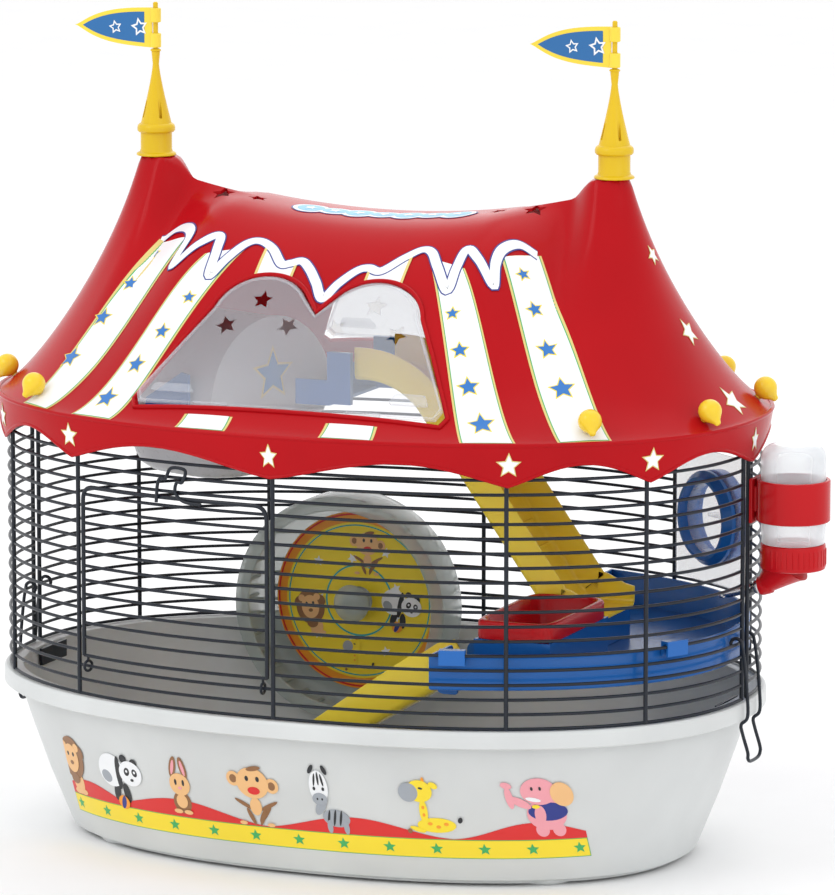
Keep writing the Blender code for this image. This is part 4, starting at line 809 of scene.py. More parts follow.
# Where the window's edge, carried along the window's normal, meets the tent
def windowRim(side, inset, lift):
    outline = refined(windowOutline(inset), 3 * mm)
    m = np.array(windowPlace(side))
    base = np.c_[outline, np.zeros(len(outline))] @ m[:3, :3].T + m[:3, 3]
    out = m[:3, 2]
    low, high = np.full(len(base), -45 * mm), np.full(len(base), 45 * mm)
    for _ in range(34):
        mid = (low + high) / 2
        p = base + mid[:, None] * out
        inside = p[:, 2] < roofHeight(p[:, 0], p[:, 1])
        low, high = np.where(inside, mid, low), np.where(inside, high, mid)
    return base + (low + lift)[:, None] * out


def makeRoof():
    ends = posts + [2 * math.pi]
    angles = np.concatenate([np.linspace(a, b, 19)[:-1] for a, b in zip(ends[:-1], ends[1:])])
    runs = np.concatenate([np.linspace(0, 0.12, 9)[:-1], np.linspace(0.12, 1, 40)])
    rings = [roofSurface(angles, np.full_like(angles, run)) for run in runs]
    rings += [skirtAt(angles, np.full_like(angles, s)) for s in (0.02, 0.25, 0.5, 0.75, 1.0)]
    obj = piece(
        "roofShell", [grid(np.array(rings), wrapV=True)], redGloss, "roof", ["roof_shell"],
        merge=2e-5,
    )
    normals = np.array([p.normal.z for p in obj.data.polygons])
    if normals.sum() < 0:
        obj.data.flip_normals()
    thicken(obj, roof["wall"])
    for side in (-1, 1):
        outline = windowOutline(0)
        shape = slab(outline, 110 * mm, windowPlace(side), centre=(0, 40 * mm))
        combine(obj, [shape], "DIFFERENCE")
    # two small star vents at each end of the ridge
    vents = [
        slab(star(size * mm, 0.5, turn), 60 * mm, Matrix.Translation((x * mm, -7 * mm, 410 * mm)))
        for x, size, turn in ((-106, 8, 0.2), (-82, 6.5, 0.5), (82, 6.5, 0.5), (106, 8, 0.2))
    ]
    combine(obj, vents, "DIFFERENCE")
    lips = []
    for side in (-1, 1):
        rim = windowRim(side, -1.6 * mm, 0.3 * mm)
        lips.append(tube(rim, 1.5 * mm, 10, ref=np.array(windowPlace(side))[:3, 2], closed=True))
    piece("windowLips", lips, redGloss, "roof")
    # a rolled bead along the scalloped edge and a soft one on the crease
    edge = skirtAt(angles, np.full_like(angles, 0.985), -0.6 * mm)
    piece("skirtBead", [tube(edge, 1.25 * mm, 8, closed=True)], redGloss, "roof")
    crease = skirtAt(angles, np.full_like(angles, 0.0), -0.9 * mm)
    piece("creaseBead", [tube(crease, 1.5 * mm, 8, closed=True)], redGloss, "roof")


makeRoof()
print("roof made")


# Windows
def makeWindow(name, side):
    place = windowPlace(side)
    w = windowSize
    outline = windowOutline(w["clear"])
    obj = piece(
        "pane" + name[7:].title(), [slab(outline, w["pane"], place, centre=(0, 35 * mm))], clearPane, name,
        [name],
    )
    stars = []
    for sx in (-1, 1):
        for x, y, turn in ((16, 62, 0.5), (38, 80, 0.0), (57, 60, -0.4)):
            at = place @ Matrix.Translation((sx * x * mm, y * mm, 0)) @ Matrix.Rotation(sx * turn, 4, "Z")
            stars.append(slab(star(7.4 * mm, 0.48), 10 * mm, at))
    combine(obj, stars, "DIFFERENCE")
    extra = []
    for low, high in ((-62, -40), (40, 62)):
        a, b = (np.array(place @ Vector((x * mm, 2.6 * mm, 0))) for x in (low, high))
        extra.append(tube(np.linspace(a, b, 5), 1.5 * mm, 16, ref=np.array(place)[:3, 2]))
    grip = rounded(
        [(66 * mm, 10 * mm), (92 * mm, 10 * mm), (89 * mm, 17.4 * mm), (69 * mm, 17.4 * mm)], 2 * mm,
    )
    extra.append(slab(grip, 2.4 * mm, place @ Matrix.Translation((0, 0, 1.6 * mm))))
    tab = rounded(
        [(-93 * mm, 9.5 * mm), (-64 * mm, 9.5 * mm), (-67 * mm, 15 * mm), (-91 * mm, 15 * mm)], 2 * mm,
    )
    extra.append(slab(tab, 1 * mm, place @ Matrix.Translation((0, 0, 1.1 * mm))))
    # a raised edge follows the pane's own outline
    line = refined(windowOutline(w["clear"] + 1.6 * mm), 4 * mm)
    path = moved(np.c_[line, np.full(len(line), 0.7 * mm)], place)
    extra.append(tube(path, 0.7 * mm, 8, ref=np.array(place)[:3, 2], closed=True))
    piece("paneFittings" + name[7:].title(), extra, clearPane, name)


makeWindow("window_front", -1)
makeWindow("window_rear", 1)
print("windows made")

# Spires, flags and bulbs
spire = {"height": 97.5 * mm, "radius": 10 * mm, "pole": 1.6 * mm}


def makeSpires():
    z0 = roof["peakZ"] + 0.3 * mm
    top, r, p = z0 + spire["height"], spire["radius"], spire["pole"]
    stop, coneTop = z0 + 66 * mm, z0 + 58 * mm
    bell = [
        (
            p + 0.4 * mm + (r - 0.6 * mm - p) * s**1.25, coneTop - (coneTop - z0 - 20.6 * mm) * s,
        ) for s in np.linspace(0, 1, 14)
    ]
    outline = [
        (0, top), (p * 0.6, top - 0.1 * mm), (p, top - 0.8 * mm), (p, stop + 1.9 * mm),
        (p + 1.3 * mm, stop + 1.5 * mm), (p + 1.8 * mm, stop + 1 * mm), (p + 1.8 * mm, stop + 0.4 * mm),
        (p + 1.2 * mm, stop),
    ]
    outline += bell
    outline += [
        (r + 0.6 * mm, z0 + 20.2 * mm), (r + 1.7 * mm, z0 + 19.2 * mm), (r + 2.1 * mm, z0 + 17.6 * mm),
        (r + 2.0 * mm, z0 + 15.8 * mm), (r + 1.2 * mm, z0 + 14.8 * mm), (r, z0 + 14.5 * mm),
        (r, z0 + 4 * mm), (r + 0.5 * mm, z0 + 2.4 * mm), (r + 2 * mm, z0 + 1.7 * mm),
        (12.5 * mm, z0 + 1.2 * mm), (12.7 * mm, z0 + 0.5 * mm), (12.4 * mm, z0), (0, z0),
    ]
    for name, x in (("spire_left", -roof["peakX"]), ("spire_right", roof["peakX"])):
        place = Matrix.Translation((x, 0, 0))
        obj = piece(
            "tower" + name[6:].title(), [turned(outline, 48, place)], yellowGloss, "roof",
            [name],
        )
        # four narrow window slots in the cone and the drum
        slots = []
        for k in range(4):
            at = place @ Matrix.Rotation(
                math.radians(45 + 90 * k), 4, "Z",
            ) @ Matrix.Translation((r * 0.85, 0, z0 + 30 * mm)) @ Matrix.Rotation(math.radians(90), 4, "Y")
            slots.append(
                slab(
                    rounded(
                        [(-6 * mm, -1 * mm), (6 * mm, -1 * mm), (6 * mm, 1 * mm), (-6 * mm, 1 * mm)],
                        0.8 * mm,
                    ),
                    5 * mm, at,
                )
            )
        combine(obj, slots, "DIFFERENCE")


flag = {"length": 56 * mm, "height": 25 * mm, "thick": 1.2 * mm}


# The flag's outline at a share s of its length: a leaf that narrows to a point, with a slight curl sideways
def flagHalf(s):
    return flag["height"] / 2 * np.clip(
        1.02 - 0.18 * s - 0.84 * s**3.2, 0, 2,
    ) * np.sqrt(np.clip(1 - s**9, 0, 1))


def flagSheet(pole, mid, inset, lift, start=0.0):
    s = np.linspace(start, 1 - inset / flag["length"] * 2.2, 40)
    half = np.maximum(flagHalf(s) - inset, 0)
    v = np.linspace(-1, 1, 13)
    x = pole - 2.4 * mm - s * (flag["length"] - 2.4 * mm)
    y = 0.8 * mm * np.sin(s * 5.2)
    x, y = np.repeat(x[:, None], 13, 1), np.repeat(y[:, None], 13, 1) + lift
    return np.stack([x, y, mid + half[:, None] * v], -1)


def makeFlags():
    top = roof["peakZ"] + 0.3 * mm + spire["height"] - 4 * mm
    mid = top - flag["height"] / 2
    for name, pole in (("flag_left", -roof["peakX"]), ("flag_right", roof["peakX"])):
        label = name[5:].title()
        front, rear = flagSheet(pole, mid, 0, -flag["thick"] / 2), flagSheet(pole, mid, 0, flag["thick"] / 2)
        skin = np.concatenate([front, rear[:, ::-1]], 1)
        shapes = [grid(skin, wrapV=True)]
        for k in (0, -1):
            ends = skin[k]
            shapes.append(grid(np.stack([ends, np.broadcast_to(ends.mean(0), ends.shape)]), wrapV=True))
        inner, outer, h = spire["pole"] + 0.45 * mm, spire["pole"] + 1.9 * mm, 9 * mm
        for low in (mid - flag["height"] / 2, mid + flag["height"] / 2 - h):
            outline = [
                (inner, low), (inner, low + h), (outer - 0.4 * mm, low + h), (outer, low + h - 0.4 * mm),
                (outer, low + 0.4 * mm), (outer - 0.4 * mm, low), (inner, low),
            ]
            shapes.append(turned(outline, 28, Matrix.Translation((pole, 0, 0))))
        piece("flag" + label, shapes, flagYellow, name, [name], merge=2e-6)
        fields, starsWhite = [], []
        for lift in (-1, 1):
            away = lift * (flag["thick"] / 2 + 0.12 * mm)
            # the print on the front looks forward, the other one back
            fields.append(grid(flagSheet(pole, mid, 2.6 * mm, away, 0.1)[::lift]))
            for x, z, size in ((-0.2, 0.0, 6.2), (-0.5, -0.6, 4.6)):
                tips, hole = star(size * mm, 0.5, 0.2), star(size * mm * 0.62, 0.5, 0.2)
                px, pz = pole + x * flag["length"], mid + z * mm
                y = 0.8 * mm * np.sin(
                    5.2 * (pole - 2.4 * mm - (px + tips[:, 0])) / (flag["length"] - 2.4 * mm)
                ) + away + lift * 0.12 * mm
                ring = np.array([np.c_[px + o[:, 0], y, pz + o[:, 1]] for o in (tips, hole)])
                starsWhite.append(grid(ring[::lift], wrapV=True))
        piece("flagField" + label, fields, flagBlue, name, recalc=False)
        piece("flagStars" + label, starsWhite, inks["white"], name, recalc=False)


def makeBulbs():
    ends = posts + [2 * math.pi]
    spots = np.array([(ends[i] + ends[i + 1]) / 2 for i in (0, 1, 4, 5, 6, 7, 10, 11)])
    run, step, r = 0.9, 0.002, 7.3 * mm
    here, beside = roofSurface(spots, run), roofSurface(spots + step, run)
    below = roofSurface(spots, run + step)
    normal = np.cross(below - here, beside - here)
    normal /= np.linalg.norm(normal, axis=1)[:, None]
    shapes = []
    t = np.radians(np.linspace(0, 143, 18))
    outline = [(r * math.sin(a), r * math.cos(a)) for a in t] + [
        (0.36 * r, -1.08 * r), (0.24 * r, -1.36 * r), (0.12 * r, -1.42 * r), (0, -1.42 * r),
    ]
    for spot, n in zip(here, normal):
        centre = Vector(spot + n * (r + 0.6 * mm))
        away = Vector((n[0], n[1], 0)).normalized()
        place = axisPlace(centre, Vector((0, 0, 1)) - away * 0.9)
        shapes.append(turned(outline, 32, place))
        stem = np.array([centre, Vector(spot + n * 0.2 * mm)])
        shapes.append(tube(np.linspace(stem[0], stem[1], 4), 2.2 * mm, 12, ref=(0.3, 0.2, 0.1)))
    piece("roofBulbs", shapes, bulbYellow, "roof", ["bulb_%d" % k for k in range(1, 9)])


makeSpires()
makeFlags()
makeBulbs()
print("spires, flags and bulbs made")

# Nest
nest = {
    "x": -113 * mm, "y": 4 * mm, "turn": math.radians(-21), "halfWidth": 57 * mm, "halfLength": 52 * mm,
    "rimZ": 268 * mm, "deep": 41 * mm, "radius": 53 * mm, "length": 82 * mm, "leg": 9 * mm, "door": 17 * mm,
    "wall": 2 * mm,
}
nestPlace = Matrix.Translation((nest["x"], nest["y"], 0)) @ Matrix.Rotation(nest["turn"], 4, "Z")


def makeNest():
    t = np.linspace(0, 2 * math.pi, 97)[:-1]
    w, lip = nest["wall"], 4 * mm
    down = np.array(
        [
            (0.0, -1.0), (0.3, -1.0), (0.45, -0.995), (0.6, -0.97), (0.74, -0.92), (0.84, -0.82),
            (0.9, -0.66), (0.94, -0.48), (0.97, -0.3), (0.99, -0.15),
        ]
    )
    rings = []

    def ring(hx, hy, z):
        x, y = planCurve(t, hx, hy, 3)
        rings.append(np.stack([x, y, np.full_like(x, z)], 1))

    for share, d in down:
        ring(nest["halfLength"] * share, nest["halfWidth"] * share, nest["rimZ"] + nest["deep"] * d)
    ring(nest["halfLength"], nest["halfWidth"], nest["rimZ"] - w - 0.5 * mm)
    ring(nest["halfLength"] + lip - 0.5 * mm, nest["halfWidth"] + lip - 0.5 * mm, nest["rimZ"] - w)
    ring(nest["halfLength"] + lip, nest["halfWidth"] + lip, nest["rimZ"] - w / 2)
    ring(nest["halfLength"] + lip - 0.4 * mm, nest["halfWidth"] + lip - 0.4 * mm, nest["rimZ"])
    ring(nest["halfLength"] - w, nest["halfWidth"] - w, nest["rimZ"])
    for share, d in down[::-1]:
        ring(
            max(0, nest["halfLength"] * share - w), max(0, nest["halfWidth"] * share - w),
            nest["rimZ"] + nest["deep"] * d + w,
        )
    points = moved(np.array(rings), nestPlace)
    piece("nestBowl", [grid(points, wrapV=True)], milkWhite, "base", ["nest_bowl"])
    front, r, base, legs = nest["halfLength"] - 6 * mm, nest["radius"], nest["rimZ"] + 0.3 * mm, nest["leg"]

    # one hoop of the barrel: up one leg, over and down
    def hoop(radius, x, low):
        a = np.linspace(0, math.pi, 49)
        arch = np.stack([np.full(49, x), radius * np.cos(a), base + legs + radius * np.sin(a)], 1)
        return np.concatenate([[(x, radius, low)], arch, [(x, -radius, low)]])

    back = front - nest["length"]
    bend = np.sin(np.linspace(0, 1, 12) * math.pi / 2)
    drawn = 16 * mm * (1 - np.cos(np.linspace(0, 1, 12) * math.pi / 2))
    rings = [hoop(r * (0.8 + 0.2 * b), back + d, base) for b, d in zip(bend, drawn)]
    rings += [hoop(r, x, base) for x in np.linspace(back + 20 * mm, front - 3 * mm, 8)]
    rings += [
        hoop(r + 0.8 * mm, front - 2.6 * mm, base), hoop(r + 0.8 * mm, front - 0.4 * mm, base),
        hoop(r + 0.2 * mm, front, base),
    ]
    middle = np.zeros_like(rings[0]) + (0, 0, base)
    rings = [middle + (back, 0, 0)] + rings + [middle + (front, 0, 0)]
    shell = moved(np.array(rings), nestPlace)
    house = piece("nestHouse", [grid(shell)], milkWhite, "nest_house", ["nest_house"])
    thicken(house, nest["wall"])
    doorway = nestPlace @ axisPlace((10 * mm, 0, base + 21 * mm), (0, 1, 0))
    combine(
        house,
        [turned(np.array([(0, 0), (nest["door"], 0), (nest["door"], 80 * mm), (0, 80 * mm)]), 48, doorway)],
        "DIFFERENCE",
    )
    # a star with a gold edge, printed on the front of the house
    facePlace = nestPlace @ Matrix.Translation((front + 0.35 * mm, 0, base + legs + 17 * mm)) @ Matrix(
        ((0, 0, 1, 0), (1, 0, 0, 0), (0, 1, 0, 0), (0, 0, 0, 1))
    )

    def flat(outline, lift):
        c = np.broadcast_to(np.array([0.0, 0.0]), outline.shape)
        rings = np.array([np.c_[c, np.full(len(outline), lift)], np.c_[outline, np.full(len(outline), lift)]])
        return grid(moved(rings, facePlace), wrapV=True)

    piece(
        "houseStarEdge", [flat(star(18.5 * mm, 0.47), 0.0)], inks["gold"], "nest_house",
        recalc=False,
    )
    piece(
        "houseStar", [flat(star(15 * mm, 0.46), 0.15 * mm)], inks["blue"], "nest_house",
        recalc=False,
    )


makeNest()
print("nest made")

# Slide and ramp
slide = {
    "width": 66 * mm, "y": -16 * mm, "topX": -12 * mm, "topZ": 294 * mm, "wall": 21 * mm, "thick": 1.6 * mm,
}
platform = {
    "reach": 147.5 * mm, "inset": 6.5 * mm, "floorZ": 130 * mm, "frontZ": 152 * mm, "rearZ": 153 * mm,
    "landingZ": 150.5 * mm, "sheet": 2 * mm,
}
platformX = wireA - platform["reach"]
landingX = platformX + 16 * mm


# A U-shaped channel: its section, with soft corners, is carried along a path of (x, z) points
def channel(path, nearY, width, walls, thick, corner=5 * mm):
    path = np.asarray(path, float)
    tangent = np.gradient(path, axis=0)
    tangent /= np.linalg.norm(tangent, axis=1)[:, None]
    normal = np.stack([-tangent[:, 1], tangent[:, 0]], 1)
    normal *= np.sign(normal[:, 1])[:, None]
    farY, e = nearY + width, thick * 0.5
    rings = []
    k = np.radians(np.linspace(0, 90, 6))
    for (x, z), n, tall in zip(path, normal, walls):
        outer = [(nearY + e * 0.4, tall), (nearY, tall - e)] + [
            (nearY + corner * (1 - math.cos(a)), corner * (1 - math.sin(a))) for a in k
        ]
        outer += [
            (farY - corner * (1 - math.cos(a)), corner * (1 - math.sin(a))) for a in k[::-1]
        ] + [(farY, tall - e), (farY - e * 0.4, tall)]
        ci = corner - thick
        inner = [(farY - thick + e * 0.4, tall), (farY - thick, tall - e)] + [
            (farY - thick - ci * (1 - math.cos(a)), thick + ci * (1 - math.sin(a))) for a in k
        ]
        inner += [
            (nearY + thick + ci * (1 - math.cos(a)), thick + ci * (1 - math.sin(a))) for a in k[::-1]
        ] + [(nearY + thick, tall - e), (nearY + thick - e * 0.4, tall)]
        section = np.array(outer + inner)
        rings.append(np.stack([x + n[0] * section[:, 1], section[:, 0], z + n[1] * section[:, 1]], 1))
    return np.array(rings)


def closedChannel(rings):
    # the open ends are closed across the wall's own thickness: outer half of the section to inner half
    shapes = [grid(rings, wrapV=True)]
    half = rings.shape[1] // 2
    for k in (0, -1):
        shapes.append(grid(np.stack([rings[k][:half], rings[k][half:][::-1]])))
    return shapes


def arc(centre, radius, start, end, count):
    t = np.radians(np.linspace(start, end, count))
    return np.stack([centre[0] + radius * np.cos(t), centre[1] + radius * np.sin(t)], 1)


def makeSlide():
    head, foot = (slide["topX"], slide["topZ"]), (landingX + 40 * mm, platform["landingZ"] + 0.3 * mm)
    bend, flare, steep = 46 * mm, 16 * mm, math.radians(53)
    upper = arc((head[0] + 6 * mm, head[1] - bend), bend, 90, 90 - 53, 24)
    lower = arc((foot[0] - 24 * mm, foot[1] + flare), flare, 270 - 53, 270, 14)
    run = np.linspace(upper[-1], lower[0], 16)[1:-1]
    path = np.concatenate(
        [np.linspace(head, upper[0], 4)[:-1], upper, run, lower, np.linspace(lower[-1], foot, 5)[1:]]
    )
    s = np.linspace(0, 1, len(path))
    walls = slide["wall"] * (1 - 0.4 * smoothStep(0.93, 1.0, s))
    rings = channel(path, slide["y"], slide["width"], walls, slide["thick"])
    piece("upperSlide", closedChannel(rings), amber, "base", ["upper_slide"])
    # low treads across the floor of the run
    treads = []
    for k in np.linspace(0, 1, 9)[1:-1]:
        p = upper[-1] + (lower[0] - upper[-1]) * k
        n = np.array([math.sin(steep), math.cos(steep)])
        q = p + n * (slide["thick"] + 0.3 * mm)
        ys = np.linspace(slide["y"] + 7 * mm, slide["y"] + slide["width"] - 7 * mm, 6)
        treads.append(tube(np.stack([np.full(6, q[0]), ys, np.full(6, q[1])], 1), 0.9 * mm, 8, ref=(1, 0, 0)))
    piece("slideTreads", treads, amber, "base")


ramp = {"y": -112 * mm, "width": 46 * mm, "wall": 27 * mm, "tilt": math.radians(31), "pin": 2.2 * mm}


def makeRamp():
    px, pz = platformX - 4 * mm, platform["floorZ"] - 4 * mm
    floorZ = tray["foot"] + tray["wall"] + 1.2 * mm
    drop = pz - floorZ
    run = drop / math.tan(ramp["tilt"])
    share = np.linspace(0.013, 1, 40)
    path = np.stack([px - run * share, pz - drop * share], 1)
    walls = ramp["wall"] * (1 - 0.72 * share**1.3) * (0.86 + 0.14 * smoothStep(0.0, 0.07, share))
    rings = channel(path, ramp["y"], ramp["width"], walls, 1.8 * mm)
    shapes = closedChannel(rings)
    outer, inner = ramp["pin"] + 2 * mm, ramp["pin"] + 0.3 * mm
    y0, y1 = ramp["y"], ramp["y"] + ramp["width"]
    outline = [
        (inner, y0), (outer - 0.3 * mm, y0), (outer, y0 + 0.3 * mm), (outer, y1 - 0.3 * mm),
        (outer - 0.3 * mm, y1), (inner, y1), (inner, y0),
    ]
    place = Matrix.Translation((px, 0, pz)) @ Matrix.Rotation(math.radians(-90), 4, "X")
    shapes.append(turned(outline, 24, place))
    n = np.array([math.sin(ramp["tilt"]), math.cos(ramp["tilt"])]) * (-1, 1)
    for k in np.linspace(0.06, 0.96, 15):
        q = np.array([px - run * k, pz - drop * k]) + n * (2.2 * mm)
        ys = np.linspace(y0 + 6 * mm, y1 - 6 * mm, 5)
        shapes.append(tube(np.stack([np.full(5, q[0]), ys, np.full(5, q[1])], 1), 1.0 * mm, 8, ref=(1, 0, 0)))
    piece("lowerRamp", shapes, amber, "lower_ramp", ["lower_ramp"])


def makePlatform():
    a, b = wireA - platform["inset"], wireB - platform["inset"]
    start = planAngle(platformX, a)
    t = np.linspace(-start, start, 121)
    x, y = planCurve(t, a, b)
    x[0] = x[-1] = platformX
    top = platform["frontZ"] + (platform["rearZ"] - platform["frontZ"]) * smoothStep(-60 * mm, 110 * mm, y)
    # the open side is part of the ring too
    sideY = np.linspace(y[-1], y[0], 30)[1:-1]
    x, y = np.concatenate([x, np.full(28, platformX)]), np.concatenate([y, sideY])
    topSide = np.where(
        (sideY > ramp["y"] - 0.5 * mm) & (sideY < b - 30 * mm),
        platform["floorZ"] + platform["sheet"] + 0.3 * mm,
        np.interp(sideY, [y[0], y[120]], [top[0], top[-1]]),
    )
    top = np.concatenate([top, topSide])

    def ring(inset, z):
        sx = np.maximum(x * (a - inset) / a, platformX + inset)
        return np.stack([sx, y * (b - inset) / b, np.broadcast_to(z, x.shape)], 1)

    w = platform["sheet"]
    low = platform["floorZ"]
    middle = np.tile([170 * mm, 0, low], (len(x), 1))
    middleHigh = middle + (0, 0, w)
    rings = [
        middle, ring(1.2 * mm, low), ring(0.3 * mm, low + 0.4 * mm), ring(0, low + 1.4 * mm),
        ring(0, top - 0.6 * mm), ring(0.3 * mm, top - 0.1 * mm), ring(w - 0.3 * mm, top - 0.1 * mm),
        ring(w, top - 0.7 * mm), ring(w, low + w), middleHigh,
    ]
    shapes = [grid(np.array(rings), wrapV=True)]
    px, pz = platformX - 4 * mm, low - 4 * mm
    for yLow in (ramp["y"] - 2.6 * mm, ramp["y"] + ramp["width"] + 0.6 * mm):
        ear = rounded(
            [
                (px - 7 * mm, pz - 6 * mm), (platformX + 3 * mm, pz - 6 * mm),
                (platformX + 3 * mm, low + 14 * mm), (px - 7 * mm, low + 14 * mm),
            ],
            [5.5 * mm, 2 * mm, 3 * mm, 7 * mm], 8,
        )
        place = Matrix.Translation((0, yLow + 1 * mm, 0)) @ Matrix.Rotation(math.radians(90), 4, "X")
        shapes.append(slab(ear, 2 * mm, place))
    piece("playPlatform", shapes, bluePlastic, "base", ["platform"])


bowl = {"length": 100 * mm, "width": 52 * mm, "deep": 22 * mm, "lip": 11.5 * mm, "topZ": 168.5 * mm}


def makeBowl():
    x0 = landingX - 2 * mm
    y1 = slide["y"] - 2.3 * mm
    cx, cy = x0 + bowl["width"] / 2, y1 - bowl["length"] / 2
    t = np.linspace(0, 2 * math.pi, 145)[:-1]
    inset, deep, lipLow = 1 * mm + 2.3 * mm, bowl["topZ"] - bowl["deep"], bowl["topZ"] - bowl["lip"]
    steps = [
        (26 * mm, deep - 2 * mm), (inset + 6 * mm, deep - 2 * mm), (inset + 4 * mm, deep - 1.6 * mm),
        (inset + 1 * mm, deep + 1 * mm), (inset + 0.2 * mm, lipLow), (0.4 * mm, lipLow),
        (0, lipLow + 0.4 * mm), (0, bowl["topZ"] - 2.2 * mm),
        (0.4 * mm, bowl["topZ"] - 1 * mm), (1.4 * mm, bowl["topZ"] - 0.2 * mm), (2.6 * mm, bowl["topZ"]),
        (3.8 * mm, bowl["topZ"] - 0.3 * mm), (inset + 1.6 * mm, bowl["topZ"] - 1.6 * mm),
        (inset + 3.5 * mm, deep + 3 * mm), (inset + 5 * mm, deep + 0.8 * mm), (inset + 8 * mm, deep),
        (26 * mm, deep),
    ]
    rings = []
    for step, z in steps:
        power = 7 if step < 20 * mm else 2
        x, y = planCurve(t, max(0, bowl["width"] / 2 - step), max(0, bowl["length"] / 2 - step), power)
        rings.append(np.stack([cx + x, cy + y, np.full_like(x, z)], 1))
    low, high = np.tile([cx, cy, deep - 2 * mm], (144, 1)), np.tile([cx, cy, deep], (144, 1))
    piece(
        "foodBowl", [grid(np.array([low] + rings + [high]), wrapV=True)], redInside, "food_bowl",
        ["food_bowl"],
    )


makeSlide()
makeRamp()
makePlatform()
makeBowl()
print("play pieces made")

# Wheel
wheel = {
    "radius": 74.5 * mm, "depth": 36.5 * mm, "x": -73 * mm, "z": 123 * mm, "axle": 3 * mm, "wall": 2.2 * mm,
    "printLift": 0.45 * mm, "back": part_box("wheel_drum")[1][1],
}
wheelPlace = axisPlace(Vector((wheel["x"], wheel["back"], wheel["z"])), (0, -1, 0))


def makeWheel():
    d, r, w, hub = wheel["depth"], wheel["radius"], wheel["wall"], 8 * mm
    bore = wheel["axle"] + 0.3 * mm
    outline = [
        (bore, 0), (hub * 2, 0), (r - 12 * mm, 0), (r - 7 * mm, 0.4 * mm), (r - 3.2 * mm, 2 * mm),
        (r - 0.9 * mm, 4.4 * mm), (r, 7 * mm), (r, d - 1.4 * mm), (r - 0.5 * mm, d - 0.3 * mm),
        (r - 1.6 * mm, d),
        (r - 9 * mm, d), (r - 9.8 * mm, d - 0.6 * mm), (r - 9.8 * mm, d - w + 0.4 * mm), (r - 9 * mm, d - w),
        (r - w - 1 * mm, d - w), (r - w, d - w - 1 * mm),
        (r - w, 8 * mm), (r - w - 1.2 * mm, 5 * mm), (r - w - 4.5 * mm, 2.8 * mm), (r - w - 9 * mm, w),
        (hub + 1 * mm, w + 0.3 * mm), (hub, w + 1.3 * mm), (hub, d * 0.42 - 0.5 * mm),
        (hub - 0.5 * mm, d * 0.42), (bore, d * 0.42), (bore, 0),
    ]
    shapes = [turned(outline, 128, wheelPlace)]
    rungs = []
    for k in range(36):
        t = 2 * math.pi * k / 36
        a = np.array([(r - w - 1.0 * mm) * math.cos(t), (r - w - 1.0 * mm) * math.sin(t)])
        ends = np.linspace(7 * mm, d - w, 4)
        path = moved(np.stack([np.full(4, a[0]), np.full(4, a[1]), ends], 1), wheelPlace)
        rungs.append(tube(path, 1.3 * mm, 8, ref=(math.cos(t), 0, math.sin(t) + 0.01)))
    piece("wheelDrum", shapes, smokeClear, "wheel", ["wheel_drum"])
    piece("wheelRungs", rungs, smokeClear, "wheel")
    cap = d * 0.42 + 0.3 * mm
    outline = [
        (0, cap + 5 * mm), (4 * mm, cap + 4.9 * mm), (7 * mm, cap + 4.3 * mm), (9.6 * mm, cap + 3 * mm),
        (11.6 * mm, cap + 1.6 * mm), (12.5 * mm, cap + 0.5 * mm), (12.3 * mm, cap), (0, cap),
    ]
    piece(
        "wheelHubCap", [turned(outline, 48, wheelPlace)], smokeClear, "wheel", ["wheel_cap"],
    )

    # printed disc on the back wall, seen from the open side
    def disc(outerR, innerR, lift):
        rr = np.linspace(innerR, outerR, 4)
        t = np.linspace(0, 2 * math.pi, 129)[:-1]
        p = np.stack(
            [
                rr[:, None] * np.cos(t), rr[:, None] * np.sin(t),
                np.full((4, 128), w + wheel["printLift"] + lift),
            ],
            -1,
        )
        return grid(moved(p, wheelPlace), wrapV=True)

    def fill(outline, lift):
        c = np.broadcast_to(outline.mean(0), outline.shape)
        z = np.full(len(outline), w + wheel["printLift"] + lift)
        return grid(moved(np.array([np.c_[c, z], np.c_[outline, z]]), wheelPlace), wrapV=True)

    piece(
        "wheelDiscEdge", [disc(59 * mm, 9.2 * mm, 0)], inks["orange"], "wheel", recalc=False,
    )
    piece(
        "wheelDisc", [disc(52 * mm, 9.2 * mm, 0.12 * mm)], inks["yellow"], "wheel",
        recalc=False,
    )
    piece(
        "wheelDiscRing", [disc(58 * mm, 56.8 * mm, 0.14 * mm)], inks["red"], "wheel",
        recalc=False,
    )
    piece(
        "wheelDiscLine", [disc(50.5 * mm, 49.6 * mm, 0.24 * mm), disc(24 * mm, 22.8 * mm, 0.24 * mm)],
        inks["teal"], "wheel", recalc=False,
    )
    stars = []
    for k in range(9):
        t = 2 * math.pi * k / 9 + 0.35
        c = np.array([(38 if k % 2 else 28) * math.cos(t), (38 if k % 2 else 28) * math.sin(t)]) * mm
        stars.append(fill(star(3.6 * mm, 0.48, t) + c, 0.26 * mm))
    piece("wheelStars", stars, inks["white"], "wheel", recalc=False)


makeWheel()
print("wheel made")

# Bottle
bottle = {
    "radius": 20.3 * mm, "topZ": 268 * mm, "capZ": 190 * mm, "capHeight": 16 * mm, "y": 11 * mm,
    "gap": 7.5 * mm, "tilt": math.radians(17),
}


